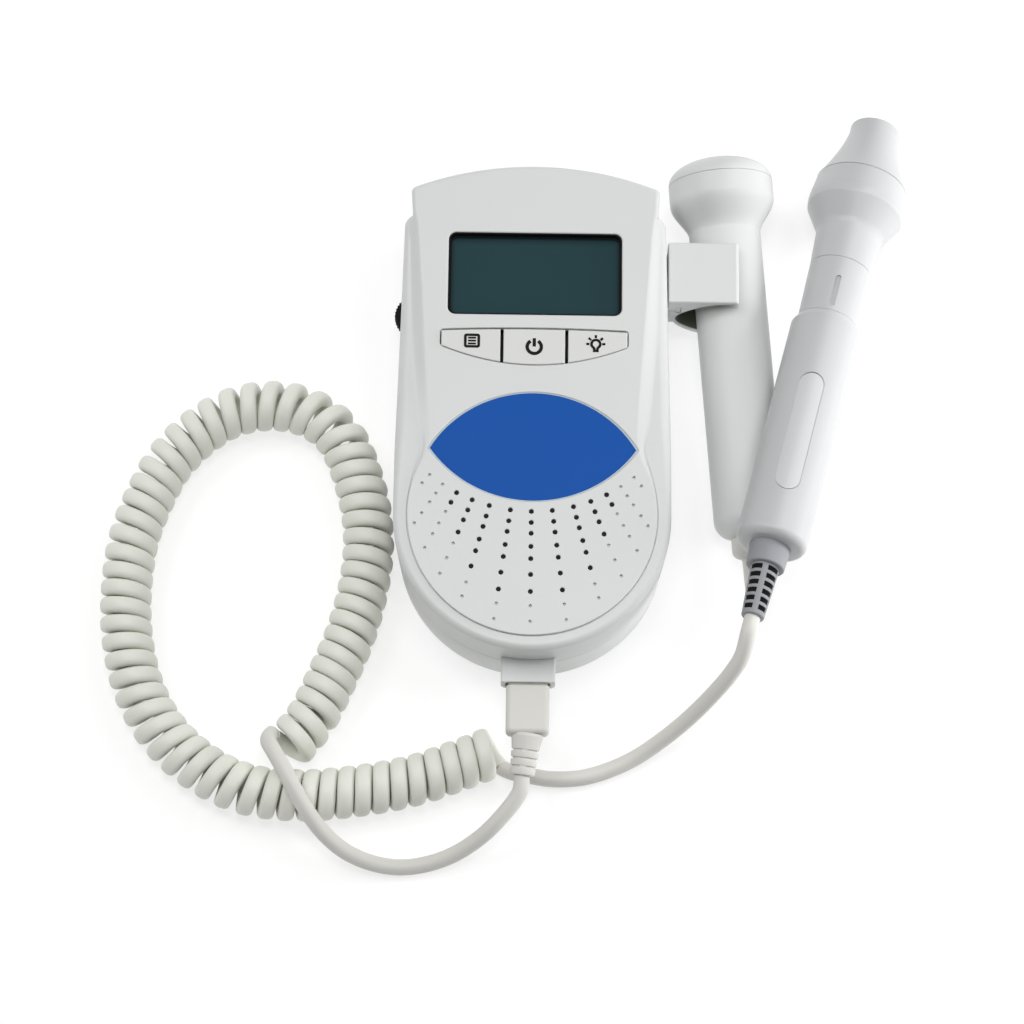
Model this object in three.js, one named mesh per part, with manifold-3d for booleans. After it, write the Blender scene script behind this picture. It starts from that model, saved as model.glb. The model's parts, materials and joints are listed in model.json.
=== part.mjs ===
// Pocket fetal heart monitor with two probes, lying on its back on a table.
// Millimetres. +Z points up out of the face, +Y towards the screen end, +X towards the probe holder.
// The origin is on the flat of the back, under the middle of the case.

import * as THREE from 'three';
import { mergeVertices } from 'three/addons/utils/BufferGeometryUtils.js';
import Module from 'manifold-3d';

const wasm = await Module();
wasm.setup();

// Fits shared by the whole part
const gap = 0.3;
const buttonGap = 0.3;
const overrun = 1;
const weldDistance = 1e-4;

// Sides of turned and drilled forms
const fineSides = 28;
const roundSides = 24;
const smallSides = 16;
const hiddenSides = 12;
const shaftSides = 8;

// Case: plan outline
const caseHalf = 36.2;
const discCentreY = -30.4;
const discRimWidth = 4;
const discRadius = caseHalf - discRimWidth;
const shoulderInset = 0.8;
const shoulderHalf = caseHalf - shoulderInset;
const shoulderY = 52.6;
const shoulderRadius = 3;
const capInset = 2.4;
const capHalf = shoulderHalf - capInset;
const capTaper = 0.5;
const capLength = 7.4;
const capEndY = shoulderY + capLength;
const capRise = 6.8;
const tipLift = 15.9;
const tipY = discCentreY + tipLift;

// Case: heights
const wall = 2.2;
const partingZ = 17;
const sideRimZ = 29.4;
const discRimZ = 32;
const faceZ = 33;
const faceWall = 2;
const rimRound = 3;
const faceRound = 1.2;
const backRound = 2.8;
const rimBlendFromY = -16;
const rimBlendToY = 16;
const crownShares = [[0, 0], [0.5, 0], [0.82, 0.12], [0.97, 0.34], [1, 0.6]];

// Screen
const screenInset = 10.2;
const screenHalf = capHalf - screenInset;
const screenHeight = 22.8;
const screenY = 35.7;
const screenCorner = 2;
const lensBorder = 2;
const lensThick = 1.3;
const panelThick = 4;
const panelBorder = 1.4;

// Buttons
const barInset = 8.4;
const barHalf = capHalf - barInset;
const barTopY = 20;
const barTopRise = 0.6;
const barEndY = 15.4;
const barBottomY = 10.2;
const buttonSplit = 8.8;
const buttonSplitGap = 0.8;
const buttonProud = 0.3;
const buttonTravel = 0.8;
const buttonFlange = 0.9;
const flangeThick = 1.2;
const matThick = 0.8;
const matDomeRadius = 2.6;
const matDomeHeight = 0.5;

// Label and its recess
const labelInset = 5.3;
const labelHalf = discRadius - labelInset;
const labelTopRise = 17.3;
const labelBottomDrop = 12.6;
const labelRecess = 0.8;
const labelProud = 0.05;

// Speaker grille: rays of holes from one centre
const fanCentreLift = 41.9;
const fanCentreY = discCentreY + fanCentreLift;
const fanReach = 70.6;
const fanRowShares = [0.584, 0.626, 0.667, 0.717, 0.763, 0.823, 0.887, 0.941, 1];
const fanAngles = [0, 8, 15.8, 22.3, 28.5, 34.5, 40.5];
const openHoleCounts = [7, 7, 6, 4, 2, 0, 0];
const allHoleCounts = [9, 9, 8, 7, 6, 5, 2];
const openHoleRadius = 0.65;
const blindHoleRadius = 0.5;
const blindHoleDepth = 0.6;
const holeSides = 6;
const blindHoleSides = 4;

// Speaker
const speakerInset = 13.2;
const speakerRadius = discRadius - speakerInset;
const speakerMargin = 6.6;
const speakerY = discCentreY - discRadius + speakerRadius + speakerMargin;
const speakerFrame = 1.6;
const speakerConeDepth = 3.4;
const speakerBasket = 14;
const magnetRadius = 10;
const magnetThick = 3.2;

// Circuit board and what it carries
const boardThick = 1.6;
const boardLift = 3;
const boardInset = 3.4;
const boardTopDrop = 3;
const switchSize = 6;
const switchBody = 3.4;
const switchStemRadius = 1.6;

// Batteries, their box and the cover
const batteryRadius = 7.1;
const batteryLength = 49;
const batteryNubRadius = 2.7;
const batteryNubLength = 1.3;
const batteryPitch = 15;
const boxWall = 1.5;
const contactThick = 0.8;
const contactSpring = 2.2;
const contactSpringRadius = 3.4;
const boxEndGap = 0.6;
const coverHalf = 16.2;
const coverStart = 2.2;
const coverThick = 1.8;
const tongueReach = 1.1;
const tongueThick = 0.7;
const tongueZ = 0.8;
const coverGripHalf = 6;
const coverGripWidth = 0.9;
const coverGripDepth = 0.6;
const coverGripCount = 5;
const coverGripPitch = 2;

// Case screws
const screwSideInset = 8.2;
const screwShoulderDrop = 7.2;
const screwDiscInset = 6.7;
const screwDiscAngle = 41.7;
const screwBossRadius = 3.2;
const screwHoleRadius = 1.5;
const screwShaftRadius = 1.2;
const screwHeadRadius = 2.4;
const screwHeadThick = 1.6;
const screwHeadSink = 6;
const screwLength = 17;
const screwSlotWidth = 0.7;
const screwSlotDepth = 0.6;
const screwSlotReachShare = 0.7;

// Volume wheel and its potentiometer
const wheelRadius = 6;
const wheelThick = 2.8;
const wheelProud = 1.6;
const wheelY = 30;
const wheelZ = 13.2;
const wheelTeeth = 30;
const wheelToothDepth = 0.35;
const wheelSlotGap = 0.6;
const wheelBoreRadius = 1.6;
const potHalf = 3.6;
const potOffset = 1.6;
const potShaftRadius = 1.2;

// Earphone jack in the top end
const jackInset = 11;
const jackX = jackInset - capHalf;
const jackZ = 22.8;
const jackHalf = 3;
const jackLength = 11;
const jackBoreRadius = 1.8;
const jackRingRadius = 2.7;
const jackRingReach = 0.8;

// Probe socket in the bottom end
const socketX = -0.5;
const socketHalf = 7;
const socketTopZ = 21;
const socketHeight = 8;
const socketWall = 1.3;
const socketReach = 6.8;
const socketDepth = 15.4;
const socketOuterY = discCentreY - caseHalf - socketReach;
const socketInnerY = socketOuterY + socketDepth;
const socketLugWidth = 1.6;
const socketLugReach = 1.1;

// Plug
const plugHalf = 5;
const plugTopDrop = 1;
const plugThick = 6;
const plugLength = 12.2;
const plugEndY = socketOuterY - plugLength;
const plugCorner = 1.4;
const plugNoseInset = 0.4;
const plugNoseLength = 9;
const plugBootSeat = 0.9;
const plugBootSide = 2;
const plugBootReach = 10.3;
const plugBootDrop = 1.8;
const plugBootStart = 3.6;
const plugBootEnd = 2.4;
const plugBootRound = 1.1;
const plugBootRibs = 3;
const plugBootGroove = 0.5;
const plugBootPlainShare = 0.35;
const plugBootRibbedShare = 0.6;

// Probe holder on its rail
const holderGap = 0.5;
const holderWidth = 17.8;
const holderY0 = 30.1;
const holderLength = 17;
const holderY1 = holderY0 + holderLength;
const holderTopZ = 28.3;
const holderBoreInset = 2.7;
const holderBoreZ = 15.8;
const holderBoreRadius = 10.7;
const holderArm = 2;
const holderHeel = 3.2;
const railZ = 22.4;
const railStem = 2;
const railHead = 4;
const railReach = 2.6;
const railHeadThick = 1.2;
const railMargin = 2.5;

// Flat probe, held by the holder
const flatShift = 0.4;
const flatBelow = 70.3;
const flatAbove = 36.5;
const flatLeanShare = -0.0655;
const flatRiseShare = 0.0815;
const flatHalfWidth = 9.6;
const flatHalfThick = 8.6;
const flatCorner = 5;
const flatFlare = 13.5;
const flatRimRadius = 14;
const flatRimHeight = 4.6;
const flatFaceHeight = 3.6;
const flatFaceLip = 0.4;
const flatBootRadius = 3.9;
const flatBootNeck = 2.3;
const flatBootEnd = 1.8;
const flatBootBall = 6.4;
const flatBootLength = 20;
const flatBootRoundShare = 0.85;
const flatHandlePower = 2.2;

// Pencil probe, resting on the table and on the flat probe
const pencilHeadOut = 37;
const pencilHeadBack = 13.4;
const pencilHeadZ = 13.7;
const pencilTailOut = 6.6;
const pencilTailFore = 0.5;
const pencilTailLift = 0.85;
const pencilTip = 28.3;
const pencilTipRadius = 6.4;
const pencilTipStraightShare = 0.3;
const pencilFlarePower = 1.7;
const pencilShoulder = 9.8;
const pencilShoulderRadius = 11.9;
const pencilRingRadius = 12.25;
const pencilRingHalf = 1.2;
const pencilWaist = -7.3;
const pencilWaistRadius = 8.7;
const pencilSeam = -15.8;
const pencilSeamRadius = 8.25;
const pencilNeckEnd = -34.7;
const pencilNeckRadius = 7.95;
const pencilStep = -37.1;
const pencilHandleRadius = 9.25;
const pencilHandleEnd = -105.2;
const pencilHandleRound = 2.2;
const pencilCollarLength = 5.9;
const pencilCollarRadius = 5;
const pencilBootLength = 15.4;
const pencilBootRadius = 3.75;
const pencilBootTip = 2.95;
const bootSlotRows = 6;
const bootSlotWidth = 1.1;
const bootSlotShare = 0.55;
const bootSlotEndShare = 0.6;
const pencilLabelLength = 35;
const pencilLabelWidth = 6.8;
const pencilLabelTop = -42;
const pencilLabelDepth = 0.7;
const pencilLabelProud = 0.1;
const pencilLabelRoundShare = 0.99;
const pencilMarkLength = 9;
const pencilMarkWidth = 1.1;
const pencilMarkTop = -20.5;
const pencilMarkDepth = 0.5;
const lensInset = 1.6;
const lensDepth = 0.6;

// Cord
const cordDiameter = 4.2;
const curlRadius = 4.8;
const curlGap = 0.55;
const curlSteps = 8;
const curlSides = 5;
const curlAxisZ = 6.95;
const leadSides = 10;
const leadStepShare = 2;

// Curl: hand-chosen points of the axis it winds round, on the table
const curlRoute = [
  [-62.4, -86.6], [-56.6, -78.8], [-51.5, -67.6], [-46.8, -55.3], [-43.6, -40.8], [-43.1, -27.6],
  [-46.0, -13.6], [-51.6, -1.2], [-59.3, 4.9], [-69.2, 7.0], [-79.8, 5.1], [-88.8, -0.6],
  [-96.4, -9.2], [-101.4, -19.6], [-105.0, -31.2], [-106.2, -44.6], [-105.4, -57.6], [-101.9, -71.0],
  [-95.6, -82.2], [-86.2, -91.2], [-74.4, -97.3], [-60.0, -99.2], [-44.0, -97.8], [-29.2, -94.7],
  [-17.4, -90.4], [-9.4, -87.1],
];

// Lead from the curl to the plug: over the curl, down to the table and up to the boot
const plugLeadRoute = [
  [-66.9, -87.1, 16.0], [-65.6, -89.6, 17.4], [-63.4, -93.3, 17.9], [-60.1, -99.2, 17.7],
  [-56.4, -105.2, 15.6], [-52.0, -110.2, 11.4], [-46.4, -113.9, 6.8], [-39.4, -116.1, 3.4],
  [-32.4, -116.7, 2.2], [-25.6, -115.8, 2.8], [-19.2, -113.8, 4.8], [-13.2, -110.6, 8.0],
  [-8.5, -106.9, 11.2],
];

// Lead from the curl to the pencil probe: under the plug boot, along the table and up
const probeLeadRoute = [
  [-3.4, -92.6, 2.2], [1.0, -93.7, 2.2], [7.0, -93.6, 2.2], [14.0, -92.4, 2.2], [21.0, -90.3, 2.4],
  [27.6, -87.3, 3.4], [33.6, -83.7, 6.0], [38.8, -80.3, 10.0], [43.4, -77.0, 15.0],
  [47.6, -73.6, 20.6], [51.2, -70.2, 26.0], [53.8, -66.6, 30.2],
];

// Finishes
const finishes = {
  body: { color: 0xd7d9d8, roughness: 0.42 },
  key: { color: 0xdedfdd, roughness: 0.5 },
  window: { color: 0x2c4246, roughness: 0.1 },
  panel: { color: 0x2c4246, roughness: 0.3 },
  label: { color: 0x2156a5, roughness: 0.35 },
  cord: { color: 0xcdcfc8, roughness: 0.6 },
  lead: { color: 0xd4d2ce, roughness: 0.55 },
  boot: { color: 0x96989c, roughness: 0.5 },
  probe: { color: 0xe4e6e7, roughness: 0.3 },
  black: { color: 0x1c1d1e, roughness: 0.55 },
  board: { color: 0x1f5b3a, roughness: 0.5 },
  metal: { color: 0xb8bcc0, roughness: 0.35, metalness: 0.9 },
  battery: { color: 0x3b5f8a, roughness: 0.4 },
  mat: { color: 0x232425, roughness: 0.8 },
};

const monitor = new THREE.Group();

// Solids and meshes

function withoutFlatTriangles(geometry) {
  const from = geometry.index.array;
  const kept = [];
  for (let i = 0; i < from.length; i += 3) {
    const corners = [from[i], from[i + 1], from[i + 2]];
    if (new Set(corners).size === corners.length) {
      kept.push(...corners);
    }
  }
  geometry.setIndex(kept);
  return geometry;
}

function welded(geometry) {
  const bare = new THREE.BufferGeometry();
  bare.setAttribute('position', geometry.getAttribute('position').clone());
  bare.setIndex(geometry.index ? geometry.index.clone() : null);
  return withoutFlatTriangles(mergeVertices(bare, weldDistance));
}

function signedVolume(geometry) {
  const position = geometry.getAttribute('position');
  const index = geometry.index.array;
  const corners = [new THREE.Vector3(), new THREE.Vector3(), new THREE.Vector3()];
  let volume = 0;
  for (let i = 0; i < index.length; i += 3) {
    corners.forEach((corner, k) => corner.fromBufferAttribute(position, index[i + k]));
    volume += corners[0].dot(corners[1].clone().cross(corners[2]));
  }
  return volume;
}

function facingOut(geometry) {
  if (signedVolume(geometry) < 0) {
    const index = geometry.index.array;
    for (let i = 0; i < index.length; i += 3) {
      [index[i + 1], index[i + 2]] = [index[i + 2], index[i + 1]];
    }
  }
  return geometry;
}

function solid(geometry) {
  const closed = facingOut(welded(geometry));
  const vertProperties = Float32Array.from(closed.getAttribute('position').array);
  const triVerts = Uint32Array.from(closed.index.array);
  return new wasm.Manifold(new wasm.Mesh({ numProp: 3, vertProperties, triVerts }));
}

function geometryOf(manifold) {
  const mesh = manifold.getMesh();
  const geometry = new THREE.BufferGeometry();
  geometry.setAttribute('position', new THREE.BufferAttribute(Float32Array.from(mesh.vertProperties), 3));
  geometry.setIndex(Array.from(mesh.triVerts));
  return geometry;
}

function add(name, shape, finish, group = monitor) {
  const geometry = shape.isBufferGeometry ? facingOut(welded(shape)) : geometryOf(shape);
  const mesh = new THREE.Mesh(geometry, new THREE.MeshStandardMaterial(finishes[finish]));
  mesh.name = name;
  group.add(mesh);
  return mesh;
}

function union(parts) {
  return parts.reduce((whole, piece) => whole.add(piece));
}

// Plain forms, standing along Z

function block(x0, x1, y0, y1, z0, z1) {
  const box = new THREE.BoxGeometry(x1 - x0, y1 - y0, z1 - z0);
  box.translate((x0 + x1) / 2, (y0 + y1) / 2, (z0 + z1) / 2);
  return solid(box);
}

function prismGeometry(outline, z0, z1) {
  const form = new THREE.ExtrudeGeometry(new THREE.Shape(outline), { depth: z1 - z0, bevelEnabled: false });
  form.translate(0, 0, z0);
  return form;
}

function prism(outline, z0, z1) {
  return solid(prismGeometry(outline, z0, z1));
}

function drumGeometry(radiusLow, radiusHigh, z0, z1, sides) {
  const form = new THREE.CylinderGeometry(radiusHigh, radiusLow, z1 - z0, sides);
  form.rotateX(Math.PI / 2);
  form.translate(0, 0, (z0 + z1) / 2);
  return form;
}

function drum(radius, x, y, z0, z1, sides = roundSides) {
  return solid(drumGeometry(radius, radius, z0, z1, sides).translate(x, y, 0));
}

function turnedGeometry(profile, sides) {
  const points = profile.map(([radius, along]) => new THREE.Vector2(radius, along));
  const form = new THREE.LatheGeometry(points, sides);
  form.rotateX(Math.PI / 2);
  return form;
}

function roundedRect(halfX, halfY, corner, cornerSteps = 4) {
  const points = [];
  const centres = [[1, 1], [-1, 1], [-1, -1], [1, -1]];
  centres.forEach(([sx, sy], quarter) => {
    for (let i = 0; i <= cornerSteps; i += 1) {
      const angle = (quarter + i / cornerSteps) * Math.PI / 2;
      const x = sx * (halfX - corner) + corner * Math.cos(angle);
      const y = sy * (halfY - corner) + corner * Math.sin(angle);
      points.push(new THREE.Vector2(x, y));
    }
  });
  return points;
}

function moved(points, dx, dy) {
  return points.map((point) => new THREE.Vector2(point.x + dx, point.y + dy));
}

// A closed skin through rings of equal count, with a flat cap at both ends
function loft(rings) {
  const count = rings[0].length;
  const positions = rings.flat().flatMap((point) => [point.x, point.y, point.z]);
  const index = [];
  for (let level = 0; level + 1 < rings.length; level += 1) {
    for (let i = 0; i < count; i += 1) {
      const next = (i + 1) % count;
      const a = level * count + i;
      const b = level * count + next;
      index.push(a, b, a + count);
      index.push(b, b + count, a + count);
    }
  }
  const flat = rings[0].map((point) => new THREE.Vector2(point.x, point.y));
  const top = rings[rings.length - 1].map((point) => new THREE.Vector2(point.x, point.y));
  const last = (rings.length - 1) * count;
  THREE.ShapeUtils.triangulateShape(flat, []).forEach(([a, b, c]) => index.push(a, c, b));
  THREE.ShapeUtils.triangulateShape(top, []).forEach(([a, b, c]) => index.push(last + a, last + b, last + c));
  const form = new THREE.BufferGeometry();
  form.setAttribute('position', new THREE.Float32BufferAttribute(positions, 3));
  form.setIndex(index);
  return form;
}

// Case outlines: both run from the bottom middle round the right side to the top middle

const discSteps = 13;
const sideSteps = 3;
const shoulderSteps = 3;
const capSteps = 6;
const tipAngle = Math.asin(tipLift / discRadius);
const capArcRadius = (capHalf ** 2 + capRise ** 2) / (2 * capRise);
const capArcY = capEndY + capRise - capArcRadius;

function capY(x, inset) {
  return capArcY + Math.sqrt((capArcRadius - inset) ** 2 - x ** 2);
}

// Half width of the case at a place along its straight side
function sideX(y) {
  const share = (y - tipY) / (shoulderY - shoulderRadius - tipY);
  return caseHalf + (shoulderHalf - caseHalf) * share;
}

const wheelX = wheelRadius - wheelProud - sideX(wheelY);
const holderX0 = sideX(holderY0) + holderGap;
const holderX1 = holderX0 + holderWidth;
const holderBoreX = holderX1 - holderBoreInset;

function mirrored(right) {
  const left = right.slice(1, -1).reverse().map((point) => new THREE.Vector2(-point.x, point.y));
  return [...right, ...left];
}

function caseOutline(inset) {
  const right = [];
  const radius = caseHalf - inset;
  for (let i = 0; i <= discSteps; i += 1) {
    const angle = (i / discSteps - 1) * Math.PI / 2;
    right.push(new THREE.Vector2(radius * Math.cos(angle), discCentreY + radius * Math.sin(angle)));
  }
  for (let i = 1; i <= sideSteps; i += 1) {
    right.push(new THREE.Vector2(radius, discCentreY + discRadius * Math.sin(tipAngle * i / sideSteps)));
  }
  const corner = shoulderRadius - Math.min(inset, shoulderRadius - gap);
  const cornerX = shoulderHalf - inset - corner;
  const cornerY = shoulderY - inset - corner;
  for (let i = 0; i <= shoulderSteps; i += 1) {
    const angle = i / shoulderSteps * Math.PI / 2;
    right.push(new THREE.Vector2(cornerX + corner * Math.cos(angle), cornerY + corner * Math.sin(angle)));
  }
  const capX = capHalf - inset;
  right.push(new THREE.Vector2(Math.min(capX - capTaper, cornerX - gap / 2), cornerY + corner));
  for (let i = 0; i <= capSteps; i += 1) {
    const x = capX * (1 - i / capSteps);
    right.push(new THREE.Vector2(x, capY(x, inset)));
  }
  return mirrored(right);
}

function faceOutline(inset) {
  const right = [];
  const radius = discRadius - inset;
  for (let i = 0; i <= discSteps; i += 1) {
    const angle = (i / discSteps - 1) * Math.PI / 2;
    right.push(new THREE.Vector2(radius * Math.cos(angle), discCentreY + radius * Math.sin(angle)));
  }
  for (let i = 1; i <= sideSteps; i += 1) {
    const angle = tipAngle * i / sideSteps;
    right.push(new THREE.Vector2(radius * Math.cos(angle), discCentreY + radius * Math.sin(angle)));
  }
  const from = right[right.length - 1];
  const capX = capHalf - inset;
  const ends = caseOutline(inset).slice(discSteps + sideSteps + 1, discSteps + sideSteps + shoulderSteps + 3);
  ends.forEach((end) => {
    const share = (end.y - from.y) / (capEndY - from.y);
    right.push(new THREE.Vector2(from.x + (capX - from.x) * share, end.y));
  });
  for (let i = 0; i <= capSteps; i += 1) {
    const x = capX * (1 - i / capSteps);
    right.push(new THREE.Vector2(x, capY(x, inset)));
  }
  return mirrored(right);
}

function level(outline, z) {
  return outline.map((point) => new THREE.Vector3(point.x, point.y, z));
}

function rimZ(y) {
  const share = THREE.MathUtils.smoothstep(y, rimBlendFromY, rimBlendToY);
  return discRimZ + (sideRimZ - discRimZ) * share;
}

// Height at the face's edge: just above the rim round the disc, nearly at the face along the sides
function crestZ(y) {
  const low = discRimZ + gap / 2;
  const high = faceZ - faceRound / 2 - gap / 2;
  return low + (high - low) * THREE.MathUtils.smoothstep(y, rimBlendFromY, rimBlendToY);
}

// Shells

function caseFront() {
  const outer = caseOutline(0);
  const inner = faceOutline(0);
  const rings = [level(outer, partingZ + gap / 2)];
  crownShares.forEach(([heightShare, inShare]) => {
    rings.push(outer.map((point, i) => {
      const x = point.x + (inner[i].x - point.x) * inShare;
      const y = point.y + (inner[i].y - point.y) * inShare;
      const top = rimZ(point.y);
      return new THREE.Vector3(x, y, top - rimRound * (1 - heightShare));
    }));
  });
  rings.push(inner.map((point, i) => new THREE.Vector3(point.x, point.y, crestZ(outer[i].y))));
  rings.push(level(faceOutline(0), faceZ - faceRound / 2));
  rings.push(level(faceOutline(faceRound / 4), faceZ - faceRound / 8));
  rings.push(level(faceOutline(faceRound), faceZ));
  return solid(loft(rings));
}

function caseBack() {
  const rings = [
    level(caseOutline(backRound), 0),
    level(caseOutline(backRound / 3), backRound / 4),
    level(caseOutline(0), backRound),
    level(caseOutline(0), partingZ - gap / 2),
  ];
  return solid(loft(rings));
}

function caseRoom(z0, z1) {
  return solid(loft([level(caseOutline(wall), z0), level(caseOutline(wall), z1)]));
}

function faceRoom(z0, z1) {
  const inset = wall + faceWall / 2;
  return solid(loft([level(faceOutline(inset), z0), level(faceOutline(inset), z1)]));
}

const roomTopZ = sideRimZ - rimRound;
const ceilingZ = faceZ - faceWall;

// Button bar outline, inset all round
function barOutline(inset, x0 = -barHalf, x1 = barHalf) {
  const points = [];
  const steps = 6;
  const drop = barEndY - barBottomY;
  const sag = (x) => barBottomY + inset + drop * (x / barHalf) ** 2;
  const arch = (x) => barTopY - inset + barTopRise * (1 - (x / barHalf) ** 2);
  const from = x0 + inset;
  const to = x1 - inset;
  for (let i = 0; i <= steps; i += 1) {
    const x = from + (to - from) * i / steps;
    points.push(new THREE.Vector2(x, sag(x)));
  }
  for (let i = steps; i >= 0; i -= 1) {
    const x = from + (to - from) * i / steps;
    points.push(new THREE.Vector2(x, arch(x)));
  }
  return points;
}

// Lens-shaped label outline, inset all round
function labelOutline(inset) {
  const steps = 18;
  const half = labelHalf - inset * 2;
  const rise = labelTopRise - inset;
  const drop = labelBottomDrop - inset;
  const upper = (half ** 2 + rise ** 2) / (2 * rise);
  const lower = (half ** 2 + drop ** 2) / (2 * drop);
  const points = [];
  for (let i = 0; i < steps; i += 1) {
    const x = -half + 2 * half * i / steps;
    points.push(new THREE.Vector2(x, tipY - drop + lower - Math.sqrt(lower ** 2 - x ** 2)));
  }
  for (let i = 0; i < steps; i += 1) {
    const x = half - 2 * half * i / steps;
    points.push(new THREE.Vector2(x, tipY + rise - upper + Math.sqrt(upper ** 2 - x ** 2)));
  }
  return points;
}

function screenOutline(border, corner) {
  return moved(roundedRect(screenHalf + border, screenHeight / 2 + border, corner), 0, screenY);
}

function grilleHoles() {
  const holes = [];
  fanAngles.forEach((degrees, ray) => {
    const angle = THREE.MathUtils.degToRad(degrees);
    const sides = degrees === 0 ? [1] : [1, -1];
    sides.forEach((side) => {
      fanRowShares.slice(0, allHoleCounts[ray]).forEach((rowShare, row) => {
        const reach = fanReach * rowShare;
        const open = row < openHoleCounts[ray];
        const radius = open ? openHoleRadius : blindHoleRadius;
        const depth = open ? faceWall + overrun : blindHoleDepth;
        const x = side * reach * Math.sin(angle);
        const y = fanCentreY - reach * Math.cos(angle);
        holes.push(drum(radius, x, y, faceZ - depth, faceZ + overrun, open ? holeSides : blindHoleSides));
      });
    });
  });
  return union(holes);
}

const screwAngle = THREE.MathUtils.degToRad(screwDiscAngle);
const screwDiscReach = caseHalf - screwDiscInset;
const screwTop = [caseHalf - screwSideInset, shoulderY - screwShoulderDrop];
const screwLow = [screwDiscReach * Math.cos(screwAngle), discCentreY - screwDiscReach * Math.sin(screwAngle)];
const screwSpots = [screwTop, screwLow].flatMap(([x, y]) => [[x, y], [-x, y]]);

// Outline of the holder's T-shaped rail, seen along Y
function railOutline(clear) {
  const root = sideX(holderY1) - wall / 2;
  const tip = holderX0 + railReach + clear;
  const neck = tip - railHeadThick - 2 * clear;
  const stem = railStem / 2 + clear;
  const head = railHead / 2 + clear;
  return [
    [root, railZ - stem], [neck, railZ - stem], [neck, railZ - head], [tip, railZ - head],
    [tip, railZ + head], [neck, railZ + head], [neck, railZ + stem], [root, railZ + stem],
  ].map(([x, z]) => new THREE.Vector2(x, z));
}

// A prism of an outline in X and Z, running along Y
function alongY(outline, y0, y1) {
  const form = prismGeometry(outline.map((point) => new THREE.Vector2(point.x, -point.y)), y0, y1);
  form.rotateX(-Math.PI / 2);
  return solid(form);
}

const socketBottomZ = socketTopZ - socketHeight;

function socketCut() {
  const x0 = socketX - socketHalf - gap;
  const x1 = socketX + socketHalf + gap;
  return block(x0, x1, socketOuterY, socketInnerY, socketBottomZ - gap, socketTopZ + gap);
}

// Where the jack's body meets the inside of the top end
function jackBackY() {
  return capY(Math.abs(jackX) + jackHalf, wall) - gap;
}

function jackCut() {
  const radius = jackRingRadius + gap;
  const hole = drumGeometry(radius, radius, capEndY - wall * 2, capEndY + capRise, smallSides);
  hole.rotateX(-Math.PI / 2);
  hole.translate(jackX, 0, jackZ);
  return solid(hole);
}

// The wheel's slot, open to the parting line
function wheelCut() {
  const top = Math.max(wheelZ + wheelThick + wheelSlotGap, partingZ);
  return drum(wheelRadius + wheelSlotGap, wheelX, wheelY, wheelZ - wheelSlotGap, top);
}

function frontShell() {
  let shell = caseFront();
  shell = shell.subtract(caseRoom(partingZ - overrun, roomTopZ));
  shell = shell.subtract(faceRoom(roomTopZ - overrun, ceilingZ));
  const screwTipZ = screwHeadSink + screwLength;
  screwSpots.forEach(([x, y]) => {
    shell = shell.add(drum(screwBossRadius, x, y, partingZ + gap / 2, ceilingZ - gap));
    shell = shell.subtract(drum(screwHoleRadius, x, y, partingZ - overrun, screwTipZ + overrun, hiddenSides));
  });
  const rail = alongY(railOutline(0), holderY0 + railMargin, holderY1 - railMargin);
  shell = shell.add(rail);
  shell = shell.subtract(prism(screenOutline(0, screenCorner), ceilingZ - overrun, faceZ + overrun));
  shell = shell.subtract(prism(barOutline(0), ceilingZ - overrun, faceZ + overrun));
  shell = shell.subtract(prism(labelOutline(0), faceZ - labelRecess, faceZ + overrun));
  shell = shell.subtract(grilleHoles());
  shell = shell.subtract(socketCut());
  shell = shell.subtract(jackCut());
  return shell.subtract(wheelCut());
}

const boardZ = partingZ + boardLift;
const boxHalf = batteryPitch / 2 + batteryRadius + gap;
const boxToY = capY(boxHalf + boxWall, wall) - boxWall - boxEndGap;
const boxLength = batteryLength + batteryNubLength + contactSpring + contactThick * 2 + gap * 4;
const boxFromY = boxToY - boxLength;
const coverFromY = boxFromY - coverStart;
const boxRoofZ = boardZ - gap - boxWall;
const floorZ = coverThick + gap;

function coverOutline(inset, reach) {
  const half = coverHalf + reach - inset;
  const end = capEndY + capRise + overrun;
  return [[-half, coverFromY + inset], [half, coverFromY + inset], [half, end], [-half, end]]
    .map(([x, y]) => new THREE.Vector2(x, y));
}

function rearShell() {
  let shell = caseBack();
  const outer = boxHalf + boxWall;
  const raised = block(-outer, outer, boxFromY - boxWall, boxToY + boxWall, 0, boxRoofZ + boxWall);
  const frame = coverHalf + tongueReach + wall;
  const lintel = block(-frame, frame, coverFromY - wall, capEndY + capRise, 0, floorZ + wall);
  shell = shell.subtract(caseRoom(wall, partingZ + overrun));
  shell = shell.add(raised);
  shell = shell.add(lintel.intersect(caseRoom(0, partingZ)));
  screwSpots.forEach(([x, y]) => {
    shell = shell.add(drum(screwBossRadius, x, y, wall / 2, partingZ - gap / 2));
    shell = shell.subtract(drum(screwHoleRadius, x, y, -overrun, partingZ + overrun, hiddenSides));
    shell = shell.subtract(drum(screwHeadRadius + gap, x, y, -overrun, screwHeadSink, smallSides));
  });
  shell = shell.subtract(prism(coverOutline(0, 0), -overrun, floorZ));
  shell = shell.subtract(prism(coverOutline(0, tongueReach), tongueZ - gap, tongueZ + tongueThick + gap));
  shell = shell.subtract(block(-boxHalf, boxHalf, boxFromY, boxToY, floorZ - overrun, boxRoofZ));
  shell = shell.subtract(socketCut());
  shell = shell.subtract(jackCut());
  return shell.subtract(wheelCut());
}

function batteryCover() {
  const plate = prism(coverOutline(gap, 0), 0, coverThick);
  const tongues = prism(coverOutline(gap, tongueReach), tongueZ, tongueZ + tongueThick);
  let cover = plate.add(tongues).intersect(caseBack());
  const half = coverGripHalf;
  for (let i = 0; i < coverGripCount; i += 1) {
    const y = coverFromY + half + i * coverGripPitch;
    cover = cover.subtract(block(-half, half, y, y + coverGripWidth, -overrun, coverGripDepth));
  }
  return cover;
}

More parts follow.
